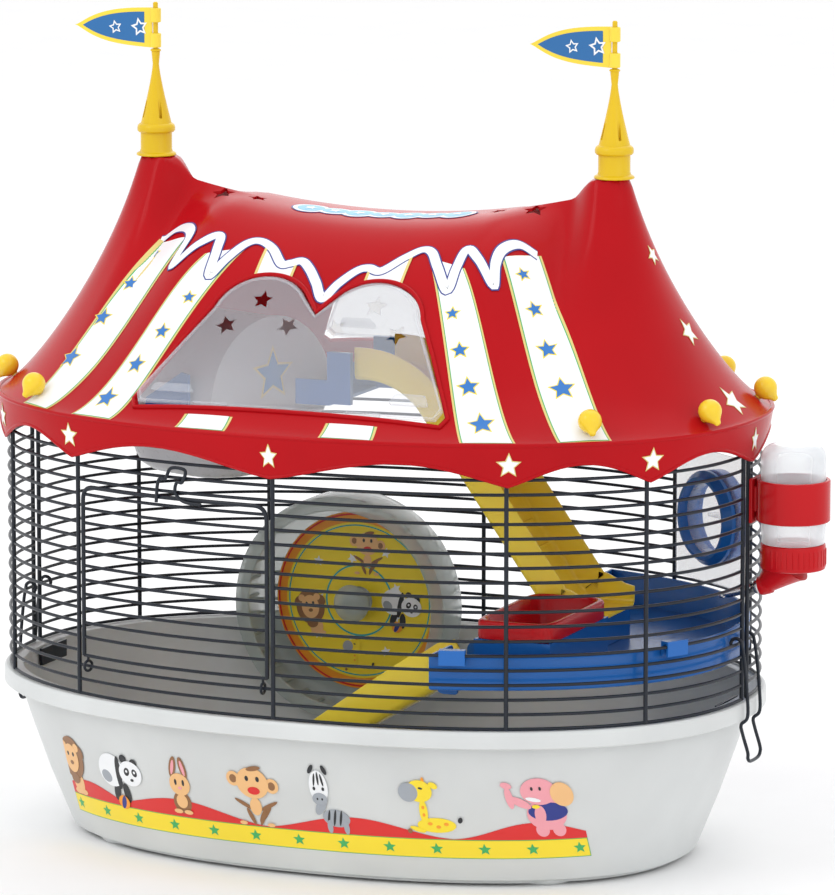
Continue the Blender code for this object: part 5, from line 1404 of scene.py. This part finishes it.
def makeBottle():
    x, r = wireA + bottle["gap"] + bottle["radius"], bottle["radius"]
    place = Matrix.Translation((x, bottle["y"], 0))
    low, w, crown, topZ = bottle["capZ"] + bottle["capHeight"] + 0.3 * mm, 1.5 * mm, 9 * mm, bottle["topZ"]
    t = np.radians(np.linspace(90, 0, 14))
    dome = [(r - crown + crown * math.cos(a), topZ - crown + crown * math.sin(a)) for a in t]
    inner = [(max(0, p - w), z - w) for p, z in dome]
    neck = [
        (r, low + 8 * mm), (r - 0.6 * mm, low + 6 * mm), (r - 0.6 * mm, low + 0.4 * mm), (r - 0.9 * mm, low),
    ]
    outline = [(0, topZ)] + dome + neck + [
        (r - 2.1 * mm, low), (r - w - 0.6 * mm, low + 6 * mm), (r - w, low + 9 * mm),
    ] + inner[::-1] + [(0, topZ - w)]
    piece(
        "bottleFlask", [turned(outline, 64, place)], clearFlask, "bottle", ["bottle_flask"],
    )
    c0, c1 = bottle["capZ"], bottle["capZ"] + bottle["capHeight"]
    cap = [
        (0, c1), (r - 1 * mm, c1), (r - 0.2 * mm, c1 - 0.5 * mm), (r, c1 - 1.4 * mm), (r, c0 + 1.4 * mm),
        (r - 0.3 * mm, c0 + 0.5 * mm), (r - 1.2 * mm, c0), (0, c0),
    ]
    obj = piece("bottleCap", [turned(cap, 64, place)], redInside, "bottle", ["bottle_cap"])
    through = np.array([wireA, bottle["y"], rowZ(7) + cage["pitch"] / 2])
    into = np.array([-math.cos(bottle["tilt"]), 0, -math.sin(bottle["tilt"])])
    end = through - into * 10 * mm
    start = np.array([x - 2 * mm, bottle["y"], c0 + 4 * mm])
    s = np.linspace(0, 1, 10)
    nose = tube(start + (end - start) * s[:, None], 15 * mm - 9 * mm * s**0.85, 40, ref=(0, 1, 0))
    combine(obj, [nose], "UNION")
    collar = tube(
        np.linspace(end - into * 4 * mm, end + into * 3.3 * mm, 6),
        np.array([6.0, 6.2, 6.2, 6.2, 6.2, 5.8]) * mm, 32, ref=(0, 1, 0),
    )
    combine(obj, [collar], "UNION")
    # grip ribs round the cap
    ribs = []
    for k in range(36):
        a = 2 * math.pi * k / 36
        if math.cos(a) < -0.35:
            continue
        p = np.array([x + (r - 0.1 * mm) * math.cos(a), bottle["y"] + (r - 0.1 * mm) * math.sin(a), 0])
        ribs.append(
            tube(
                np.array([p + (0, 0, z) for z in (c0 + 2.2 * mm, c0 + 3 * mm, c1 - 3.4 * mm, c1 - 2.6 * mm)]),
                [0.2 * mm, 0.55 * mm, 0.55 * mm, 0.2 * mm], 6, ref=(1, 0, 0),
            )
        )
    piece("capRibs", ribs, redInside, "bottle")
    a, b = end + into * 3.6 * mm, through - into * 3.4 * mm
    piece(
        "spoutSleeve",
        [tube(np.linspace(a, b, 6), np.array([4.1, 4.4, 4.4, 4.4, 4.4, 4.1]) * mm, 28, ref=(0, 1, 0))],
        brightSteel, "bottle", ["spout_sleeve"],
    )
    c, e = b + into * 0.3 * mm, through + into * 17 * mm
    piece(
        "spoutTube",
        [
            tube(
                np.linspace(c, e, 8), np.array([2.7, 2.7, 2.7, 2.7, 2.7, 2.7, 2.6, 2.2]) * mm, 24,
                ref=(0, 1, 0),
            ),
        ],
        brightSteel, "bottle", ["spout_tube"],
    )
    lowB, highB = topZ - 48 * mm, topZ - 22 * mm
    i, o = r + 0.4 * mm, r + 2.6 * mm
    band = [
        (i, highB), (o - 0.6 * mm, highB), (o, highB - 0.7 * mm), (o, lowB + 0.7 * mm), (o - 0.6 * mm, lowB),
        (i, lowB), (i, highB),
    ]
    face = wireA + wires["postOut"] + 1.4 * mm + 0.4 * mm
    y = bottle["y"]
    shapes = [
        turned(band, 64, place),
        block(
            (face + 1 * mm, y - 7 * mm, lowB + 5 * mm), (x - r - 1 * mm, y + 7 * mm, highB - 5 * mm), 1 * mm,
        ),
        block((face, y - 10 * mm, lowB - 2 * mm), (face + 2.2 * mm, y + 10 * mm, highB), 0.9 * mm),
    ]
    piece("bottleHolder", shapes, redInside, "bottle", ["bottle_holder"])


makeBottle()
print("bottle made")


# Tube port
def portFrame():
    xs = np.array([cage["sidePostX"], cage["cornerPostX"]])
    ends = [Vector((px, float(planY(px, wireA, wireB)), 0)) for px in xs]
    across = (ends[0] - ends[1]).normalized()
    turn = Matrix((across, Vector((0, 0, 1)), across.cross(Vector((0, 0, 1))))).transposed().to_4x4()
    return Matrix.Translation((ends[0] + ends[1]) / 2 + Vector((0, 0, (rowZ(5) + rowZ(15)) / 2))) @ turn


def makePort():
    place, hole = portFrame(), 27 * mm
    inner, sleeve, flange = hole - 2.6 * mm, hole - 0.4 * mm, hole + 3.5 * mm
    ring = [
        (inner, 9 * mm), (inner + 0.5 * mm, 9.4 * mm * 0.96), (flange - 0.8 * mm, 9 * mm), (flange, 8.2 * mm),
        (flange, 2.2 * mm), (flange - 0.6 * mm, 1.4 * mm), (sleeve, 1.4 * mm), (sleeve, -1.4 * mm),
        (flange - 0.6 * mm, -1.4 * mm), (flange, -2 * mm), (flange, -4.4 * mm), (flange - 0.8 * mm, -5 * mm),
        (sleeve, -9 * mm), (inner, -9 * mm), (inner, 9 * mm),
    ]
    piece("portRing", [turned(ring, 72, place)], portBlue, "base", ["port_ring"])
    capR = inner - 0.35 * mm
    cap = [
        (0, 5 * mm), (capR - 0.5 * mm, 5 * mm), (capR, 4.5 * mm), (capR, -3 * mm), (capR - 2 * mm, -3 * mm),
        (capR - 2 * mm, 3 * mm), (0, 3 * mm),
    ]
    grip, f = block((-12 * mm, -1.2 * mm, 4.4 * mm), (12 * mm, 1.2 * mm, 11 * mm), 0.6 * mm)
    piece(
        "portCap", [turned(cap, 64, place), (moved(grip, place), f)], clearPane, "port_cap",
        ["port_cap"],
    )


makePort()
print("port made")

# A printed film 0.08 mm thick. Its faces are first turned to look the given way, or away from the middle
# of the cage
def sticker(name, shapes, material, body, facing=None, merge=2e-7):
    obj = piece(name, shapes, material, body, recalc=False, merge=merge)
    work = bmesh.new()
    work.from_mesh(obj.data)
    if facing:
        wrong = [f for f in work.faces if f.normal.dot(Vector(facing)) < 0]
    else:
        wrong = [f for f in work.faces if f.normal.xy.dot(f.calc_center_median().xy) < 0]
    bmesh.ops.reverse_faces(work, faces=wrong)
    work.to_mesh(obj.data)
    work.free()
    thicken(obj, 0.08 * mm)


# An outline filled in rings round its middle, laid on a surface of two coordinates and a height above it
def laid(surface, outline, lift, rings=4, step=2 * mm):
    o = refined(outline, step)
    share = np.linspace(0, 1, rings + 1)[:, None, None]
    flat = o.mean(0) + (o - o.mean(0)) * share
    return grid(surface(flat[..., 0], flat[..., 1], lift), wrapV=True)


# The strip between two lines with the same number of points
def strip(surface, one, other, lift, across=7):
    share = np.linspace(0, 1, across)[None, :, None]
    flat = np.asarray(one)[:, None] * (1 - share) + np.asarray(other)[:, None] * share
    return grid(surface(flat[..., 0], flat[..., 1], lift))


# A star on the tent, drawn in the surface's own slope at its middle
def roofStar(x, y, size, lift, inner=0.47, turn=0.0):
    o = refined(star(size, inner, turn), 1.5 * mm)
    centre, raised = roofAt(x, y), roofAt(x, y, mm)
    normal = (raised - centre) / mm
    across = np.cross((0, 0, 1), normal)
    across /= np.linalg.norm(across)
    up = np.cross(normal, across)
    share = np.linspace(0, 1, 5)[:, None, None]
    p = centre + (o[:, :1] * across + o[:, 1:] * up) * share
    return grid(roofAt(p[..., 0], p[..., 1], lift), wrapV=True)


roofPrint = {
    "lift": 0.28 * mm, "gold": 1.3 * mm, "green": 0.6 * mm,
    # each stripe: foot left, foot right, head left, head right in plan, and the stars down it as (x, y, size)
    "stripes": [
        (
            (-193, -120), (-169.5, -137), (-138, -34), (-106, -59),
            [(-135.9, -44, 4), (-146.4, -59.5, 5), (-158, -76, 6.2), (-171.5, -94, 7.6)],
        ),
        (
            (-147, -147.5), (-114.7, -159), (-88, -74), (-62, -68),
            [(-88.3, -97.2, 4), (-99.9, -111.8, 5), (-112, -124, 6.2), (-125.5, -138.4, 7.6)],
        ),
        (
            (119, -158.5), (150.5, -146), (61, -68), (87, -74),
            [(88.6, -97.3, 4), (99.5, -112, 5), (110.5, -125, 6.2), (125, -139.3, 7.6)],
        ),
        (
            (173, -134), (200, -114), (105.5, -61), (124, -41),
            [(119.6, -60, 4), (131.5, -70.5, 5), (145, -83, 6.2), (161, -98.5, 7.6)],
        ),
    ],
    "swag": [
        (-137, -35), (-122, -37), (-106, -56), (-109.5, -75), (-95, -68), (-83.6, -61.5), (-81, -72),
        (-79.6, -86), (-72, -76), (-63, -65), (-55, -62.5), (-45, -67), (-35, -76.5), (-29, -76),
        (-22, -74), (-15, -78.5), (-7, -86.5), (1, -95), (8, -86.5), (17, -78), (24, -76), (33, -77.5),
        (45, -68), (54, -62), (61, -64), (69, -74), (80.5, -86.5), (81.5, -74), (83.6, -61.5),
        (93, -67.5), (106.8, -77.5), (104, -66), (104.5, -56), (111, -46), (122, -43),
    ],
}


def makeRoofStripes():
    gold, green, white, blue, starEdge = [], [], [], [], []
    lift = roofPrint["lift"]

    def stripe(corners, head, layers):
        footL, footR, headL, headR = (np.array(c, float) * mm for c in corners)
        long, wide = np.linalg.norm((headL + headR - footL - footR) / 2), np.linalg.norm(footR - footL)
        for k, (inset, out) in enumerate(layers):
            u = np.linspace(inset / long, head if k == 0 else head - 0.002, 60)[:, None]
            left, right = footL + (headL - footL) * u, footR + (headR - footR) * u
            share = inset / wide * (1 + 0.35 * u)
            out.append(
                strip(
                    roofAt, left + (right - left) * share, right - (right - left) * share,
                    lift + 0.1 * mm * k,
                )
            )

    layers = ((0, gold), (roofPrint["gold"], green), (roofPrint["gold"] + roofPrint["green"], white))
    for footL, footR, headL, headR, spots in roofPrint["stripes"]:
        stripe((footL, footR, headL, headR), 1.0, layers)
        for x, y, size in spots:
            starEdge.append(roofStar(x * mm, y * mm, (size + 1.5) * mm, lift + 0.32 * mm, turn=0.15))
            blue.append(roofStar(x * mm, y * mm, size * mm, lift + 0.44 * mm, turn=0.15))
    # the two stripes that the window interrupts: a short piece above each arch and a box below the window
    rim = windowRim(-1, -1.2 * mm, 0)
    for side in (-1, 1):
        stripe(
            [(side * a, b) for a, b in ((66, -170), (31, -172.5), (64, -156.5), (31, -158.5))], 1.0, layers,
        )
        xs = np.linspace(25, 49, 24) * mm * side
        upper = rim[(rim[:, 2] > 0.345) & (np.sign(rim[:, 0]) == side)]
        order = np.argsort(upper[:, 0])
        foot = np.interp(xs, upper[order, 0], upper[order, 1])
        head = np.interp(
            xs, *np.array(roofPrint["swag"])[13 if side > 0 else 9:24 if side > 0 else 18].T * mm,
        )
        white.append(
            strip(roofAt, np.c_[xs, foot], np.c_[xs, np.maximum(head, foot + 0.5 * mm)], lift + 0.2 * mm)
        )
        for at in (0, -1):
            edge = xs[at] + np.array([-0.9, 0.9]) * mm
            gold.append(
                strip(
                    roofAt, np.c_[edge, np.full(2, foot[at])],
                    np.c_[edge, np.full(2, max(head[at], foot[at] + 0.5 * mm))], lift + 0.3 * mm,
                )
            )
    facing = (0, -0.7, 0.7)
    sticker("stripeEdges", gold, inks["gold"], "roof", facing)
    sticker("stripeLines", green, inks["green"], "roof", facing)
    sticker("stripeWhite", white, inks["white"], "roof", facing)
    sticker("stripeStarEdges", starEdge, inks["yellow"], "roof", facing)
    sticker("stripeStars", blue, inks["blue"], "roof", facing)


# The swag: a broad stroke along its line, and a wider dark one under it
def makeSwag():
    line = smoothPath(np.array(roofPrint["swag"], float) * mm, 8)
    for name, half, lift, material, slot in (
        ("swagEdge", 4.1, 0.5, inks["deep"], "blue_plastic"),
        ("swagWhite", 3.2, 0.62, inks["white"], "milky_plastic"),
    ):
        tangent = np.gradient(line, axis=0)
        tangent /= np.linalg.norm(tangent, axis=1)[:, None]
        normal = np.stack([-tangent[:, 1], tangent[:, 0]], 1)
        # the stroke leans on the slope, so in plan it is narrower up and down than across
        width = half * mm * np.array([0.95, 0.72])
        sticker(
            name, [strip(roofAt, line - normal * width, line + normal * width, lift * mm, 5)], material,
            "roof", (0, -0.7, 0.7),
        )


def makeSkirtStars():
    gold, white = [], []
    for t in posts:
        step = 0.001
        p, q = (skirtAt(np.array([a]), np.array([0.5]))[0] for a in (t, t + step))
        speed = np.linalg.norm(q - p) / step
        mid = (roof["creaseZ"] + roof["tipZ"]) / 2 + 0.5 * mm

        def surface(u, z, lift):
            angle = t + u / speed
            return skirtAt(angle, (roof["creaseZ"] - (mid + z)) / (roof["creaseZ"] - skirtEdge(angle)), lift)

        gold.append(laid(surface, star(8.2 * mm, 0.46), 0.3 * mm))
        white.append(laid(surface, star(6.6 * mm, 0.46), 0.42 * mm))
    for name, shapes, material, slot in (
        ("skirtStarEdges", gold, inks["gold"], "yellow_plastic"),
        ("skirtStars", white, inks["white"], "milky_plastic"),
    ):
        sticker(name, shapes, material, "roof", merge=1e-6)
    gold, white = [], []
    for x, y, size in ((182, -1, 5.5), (206, -1, 8.5), (236, -2, 10.5)):
        for side in (-1, 1):
            gold.append(roofStar(side * x * mm, y * mm, (size + 1.5) * mm, 0.3 * mm, turn=0.3))
            white.append(roofStar(side * x * mm, y * mm, size * mm, 0.42 * mm, turn=0.3))
    sticker("endStarEdges", gold, inks["gold"], "roof", (0, 0, 1))
    sticker("endStars", white, inks["white"], "roof", (0, 0, 1))


def makeBanner():
    edge, pale, sky, stars = [], [], [], []
    for k, x in enumerate(np.linspace(-44, 56, 7)):
        ry = 12.5 if k % 2 == 0 else 10.5
        edge.append(laid(roofAt, ellipse(12.6 * mm, ry * mm, 40, x * mm, -10 * mm), (0.3 + 0.01 * k) * mm))
        pale.append(
            laid(roofAt, ellipse(11.6 * mm, (ry - 1) * mm, 40, x * mm, -10 * mm), (0.42 + 0.01 * k) * mm)
        )
        sky.append(
            laid(roofAt, ellipse(8.6 * mm, (ry - 3.4) * mm, 40, x * mm, -10 * mm), (0.56 + 0.01 * k) * mm)
        )
        stars.append(roofStar(x * mm, -10 * mm, 4.6 * mm, (0.72 + 0.01 * k) * mm))
    for name, shapes, material, slot in (
        ("bannerEdge", edge, inks["deep"], "blue_plastic"),
        ("bannerPale", pale, inks["white"], "milky_plastic"), ("bannerSky", sky, inks["sky"], "blue_plastic"),
        ("bannerStars", stars, inks["white"], "milky_plastic"),
    ):
        sticker(name, shapes, material, "roof", (0, 0, 1))


makeRoofStripes()
makeSwag()
makeSkirtStars()
makeBanner()
print("roof stickers made")

# Plain animals of ellipses. Each entry is (colour, x, y, half width, half height, turn), drawn from back
# to front
animals = {
    "lion": [
        ("tan", 3, 8, 6, 8, 0), ("tan", 0, 2, 4, 2, 0), ("tan", 7, 2, 4, 2, 0), ("brown", 0, 25, 13, 15, 0),
        ("brown", -10, 30, 4, 5, 0.5), ("brown", 10, 30, 4, 5, -0.5), ("brown", 0, 11, 5, 4, 0),
        ("tan", -7, 33, 3, 3, 0), ("tan", 7, 33, 3, 3, 0), ("tan", 0, 25, 8, 10, 0),
        ("black", -3, 28, 1.1, 1.5, 0), ("black", 3, 28, 1.1, 1.5, 0), ("brown", 0, 22, 2, 1.5, 0),
    ],
    "panda": [
        ("black", -4, 11, 3, 8, 0.2), ("black", 5, 10, 3, 7, -0.2), ("white", -7, 25, 12, 12, 0.4),
        ("black", 0, 24, 2.6, 12, 0), ("grey", -12, 20, 5, 4, 0.6), ("black", 6, 35, 3, 3, 0),
        ("black", 15, 33, 3, 3, 0), ("white", 11, 25, 10, 9, 0), ("black", 8, 26, 2.4, 3, 0.3),
        ("black", 15, 26, 2.2, 2.8, -0.3), ("white", 8, 26.4, 0.9, 1, 0), ("white", 15, 26.4, 0.9, 1, 0),
        ("black", 12, 20.5, 1.4, 1, 0), ("orange", 1, 3, 5, 5, 0), ("blue", 1, 3, 2, 5, 0.3),
    ],
    "rabbit": [
        ("brown", 0, 8, 7, 8, 0), ("brown", -4, 33, 2.6, 8, 0.25), ("brown", 4, 33, 2.6, 8, -0.2),
        ("pink", -4, 33, 1.2, 5.5, 0.25), ("pink", 4, 33, 1.2, 5.5, -0.2), ("tan", 0, 21, 8, 8, 0),
        ("tan", 0, 9, 4.4, 5, 0), ("black", -3, 22.5, 0.9, 2.2, 0), ("black", 3, 22.5, 0.9, 2.2, 0),
        ("pink", 0, 18.6, 1.5, 1, 0), ("tan", -4, 1.6, 3.4, 1.6, 0), ("tan", 4, 1.6, 3.4, 1.6, 0),
    ],
    "monkey": [
        ("brown", 6, 8, 2, 8, 0.6), ("brown", -8, 13, 7, 1.3, 0.5), ("brown", 9, 13, 7, 1.3, -0.5),
        ("tan", 0, 12, 4, 6, 0), ("brown", -4, 5, 1.4, 6, -0.4), ("brown", 4, 5, 1.4, 6, 0.4),
        ("tan", -13, 30, 4.6, 5, 0), ("tan", 13, 27, 4.6, 5, 0), ("brown", -13, 30, 2.4, 2.8, 0),
        ("brown", 13, 27, 2.4, 2.8, 0), ("tan", 0, 28, 11, 10.5, 0), ("brown", 2, 38, 5, 1.6, -0.2),
        ("black", -3.4, 31, 1.2, 1.8, 0), ("black", 4, 31, 1.2, 1.8, 0), ("red", 0.4, 23, 4.2, 2.6, 0),
        ("tan", -10, 0.5, 2.6, 1.3, 0), ("tan", 9, 0.5, 2.6, 1.3, 0),
    ],
    "zebra": [
        ("grey", 4, 9, 9, 6, 0.1), ("black", -1, 9, 0.8, 5.6, 0.2), ("black", 3, 9.4, 0.8, 5.8, 0.2),
        ("black", 7, 9.4, 0.8, 5.4, 0.2), ("grey", -1, 3, 1.8, 4.6, 0), ("grey", 10, 3, 1.8, 4.6, 0),
        ("grey", -5, 17, 3, 7, 0.5), ("black", -9, 42, 1.4, 3.4, 0.5), ("black", 0, 42, 1.4, 3.4, -0.4),
        ("white", -5, 30, 6.2, 11.5, 0), ("black", -7.4, 35, 0.7, 4.4, 0.15),
        ("black", -4.8, 36, 0.7, 4.6, 0), ("black", -2.2, 35, 0.7, 4.2, -0.15),
        ("black", -8, 29, 0.9, 1.3, 0), ("black", -2, 29, 0.9, 1.3, 0), ("grey", -5, 22, 5, 4.2, 0),
        ("black", -6.6, 22, 0.6, 0.8, 0), ("black", -3.4, 22, 0.6, 0.8, 0),
    ],
    "giraffe": [
        ("yellow", 5, 6, 12, 5, 0), ("orange", 1, 7, 1.5, 1.1, 0), ("orange", 6, 5, 1.5, 1.1, 0),
        ("orange", 11, 7, 1.5, 1.1, 0), ("yellow", -7, 3, 5, 1.6, 0.3), ("yellow", -2, 15, 2.6, 8, 0),
        ("orange", -2, 13, 0.9, 1.2, 0), ("orange", -2, 18, 0.9, 1.2, 0), ("yellow", 6, 33, 3, 2, 0.5),
        ("orange", 0, 36, 1, 2.4, 0), ("yellow", -3, 29, 8, 7.4, 0), ("grey", -10, 28, 6, 6.4, 0.2),
        ("black", -2, 31, 1.4, 0.7, 0.2), ("black", 20, 10, 1.4, 2, 0.4), ("brown", -12, 2, 1.4, 1.6, 0),
    ],
    "elephant": [
        ("pink", 2, 4, 4, 4.4, 0), ("pink", 12, 4, 4, 4.4, 0), ("pink", 6, 14, 12, 10, 0),
        ("blue", 7, 16, 12, 6, 0), ("pink", 2, 14, 3.4, 6, 0), ("pink", 3, 29, 11, 8.6, 0),
        ("pink", -9, 22, 7, 2.6, 0.5), ("pink", -15, 25, 2.3, 7, -0.15), ("pink", -16, 33, 3.4, 2, 0.3),
        ("tan", 17, 27, 7, 8, -0.5), ("white", -1, 24, 4.6, 1.3, 0.2), ("black", -1, 31, 0.8, 1.2, 0),
        ("black", 4, 31, 0.8, 1.2, 0), ("yellow", 0, 19.5, 2.4, 1.2, 0),
    ],
}
animalInks = dict(inks, blue=inks["deep"])


# Adds one animal to the shapes of each colour; every ellipse lies a hair above the one before it
def drawAnimal(kind, surface, scale, lift, found):
    for k, (colour, x, y, rx, ry, turn) in enumerate(animals[kind]):
        outline = ellipse(rx * mm * scale, ry * mm * scale, 26, x * mm * scale, y * mm * scale, -turn)
        found.setdefault(colour, []).append(laid(surface, outline, lift + 0.045 * mm * k, 2, 3 * mm))


trayPrint = {
    "left": -170 * mm, "right": 176 * mm, "low": 20.5 * mm, "high": 32.5 * mm, "hill": 11.5 * mm,
    "inset": 35 * mm, "lift": 0.3 * mm,
}


def makeTrayStickers():
    fine = np.linspace(trayPrint["left"], trayPrint["right"], 2001)
    run = np.concatenate(
        [
            [0],
            np.cumsum(
                np.hypot(
                    np.diff(fine),
                    np.diff(planY(fine, trayA - trayPrint["inset"], trayB - trayPrint["inset"])),
                )
            ),
        ]
    )
    lift = trayPrint["lift"]

    def surface(s, z, up):
        return trayAt(np.interp(s, run, fine), z, up)

    whole = run[-1]
    s = np.linspace(0, whole, 160)
    low, high = np.full(160, trayPrint["low"]), np.full(160, trayPrint["high"])
    facing = (0, -1, -0.2)
    sticker(
        "trayBandEdge", [strip(surface, np.c_[s, low - 0.5 * mm], np.c_[s, high + 0.5 * mm], lift)],
        inks["green"], "base", facing,
    )
    sticker(
        "trayBand",
        [
            strip(
                surface, np.c_[np.clip(s, 0.5 * mm, whole - 0.5 * mm), low],
                np.c_[np.clip(s, 0.5 * mm, whole - 0.5 * mm), high], lift + 0.1 * mm,
            ),
        ],
        inks["yellow"], "base", facing,
    )
    hill = np.zeros(160)
    for centre, wide in ((0.055, 0.14), (0.275, 0.19), (0.605, 0.18), (0.915, 0.15)):
        away = np.abs(s / whole - centre) / wide
        hill = np.maximum(hill, np.where(away < 1, np.cos(np.clip(away, 0, 1) * math.pi / 2) ** 2, 0))
    top = high + 0.6 * mm + trayPrint["hill"] * hill
    sticker(
        "trayHills", [strip(surface, np.c_[s, high + 0.5 * mm], np.c_[s, top], lift + 0.02 * mm)],
        inks["red"], "base", facing,
    )
    stars = []
    for k in range(13):
        at = whole * (0.018 + 0.965 * k / 12)
        stars.append(
            laid(
                surface, star(4.1 * mm, 0.45) + (at, (trayPrint["low"] + trayPrint["high"]) / 2),
                lift + 0.22 * mm, 3,
            )
        )
    sticker("trayBandStars", stars, inks["green"], "base", facing)
    found = {}
    for kind, at, height, scale in (
        ("lion", 0.02, 1, 1.0), ("panda", 0.15, 1, 0.95), ("rabbit", 0.285, 3, 0.95),
        ("monkey", 0.43, 2, 1.0), ("zebra", 0.565, 2, 0.98), ("giraffe", 0.735, 4, 1.0),
        ("elephant", 0.92, 3, 1.05),
    ):
        def local(u, w, up, at=at, height=height):
            return surface(whole * at + u, trayPrint["high"] + height * mm + w, up)

        drawAnimal(kind, local, scale, lift + 0.14 * mm, found)
    for colour, shapes in found.items():
        sticker("trayAnimals" + colour.title(), shapes, animalInks[colour], "base", facing)


def makeWheelAnimals():
    found = {}
    level = wheel["wall"] + wheel["printLift"]
    for kind, x, y, scale, turn in (
        ("monkey", 6, 18, 0.72, 0.0), ("lion", -32, -26, 0.78, 0.15), ("panda", 26, -18, 0.72, -0.2),
        ("giraffe", -2, -48, 0.6, 0.0),
    ):
        c, s = math.cos(turn), math.sin(turn)

        def local(u, w, up, x=x, y=y, c=c, s=s):
            p = np.stack([x * mm + u * c - w * s, y * mm + u * s + w * c, np.full_like(u, level) + up], -1)
            return p @ discTurn.T + discMid

        drawAnimal(kind, local, scale, 0.4 * mm, found)
    for colour, shapes in found.items():
        sticker(
            "wheelAnimals" + colour.title(), shapes, animalInks[colour], "wheel", (0, -1, 0),
        )


# across the disc, up it, and out of its open side
discTurn = np.array([(1, 0, 0), (0, 0, -1), (0, 1, 0)], float)
discMid = np.array([wheel["x"], wheel["back"], wheel["z"]])
makeTrayStickers()
makeWheelAnimals()
print("tray and wheel stickers made")
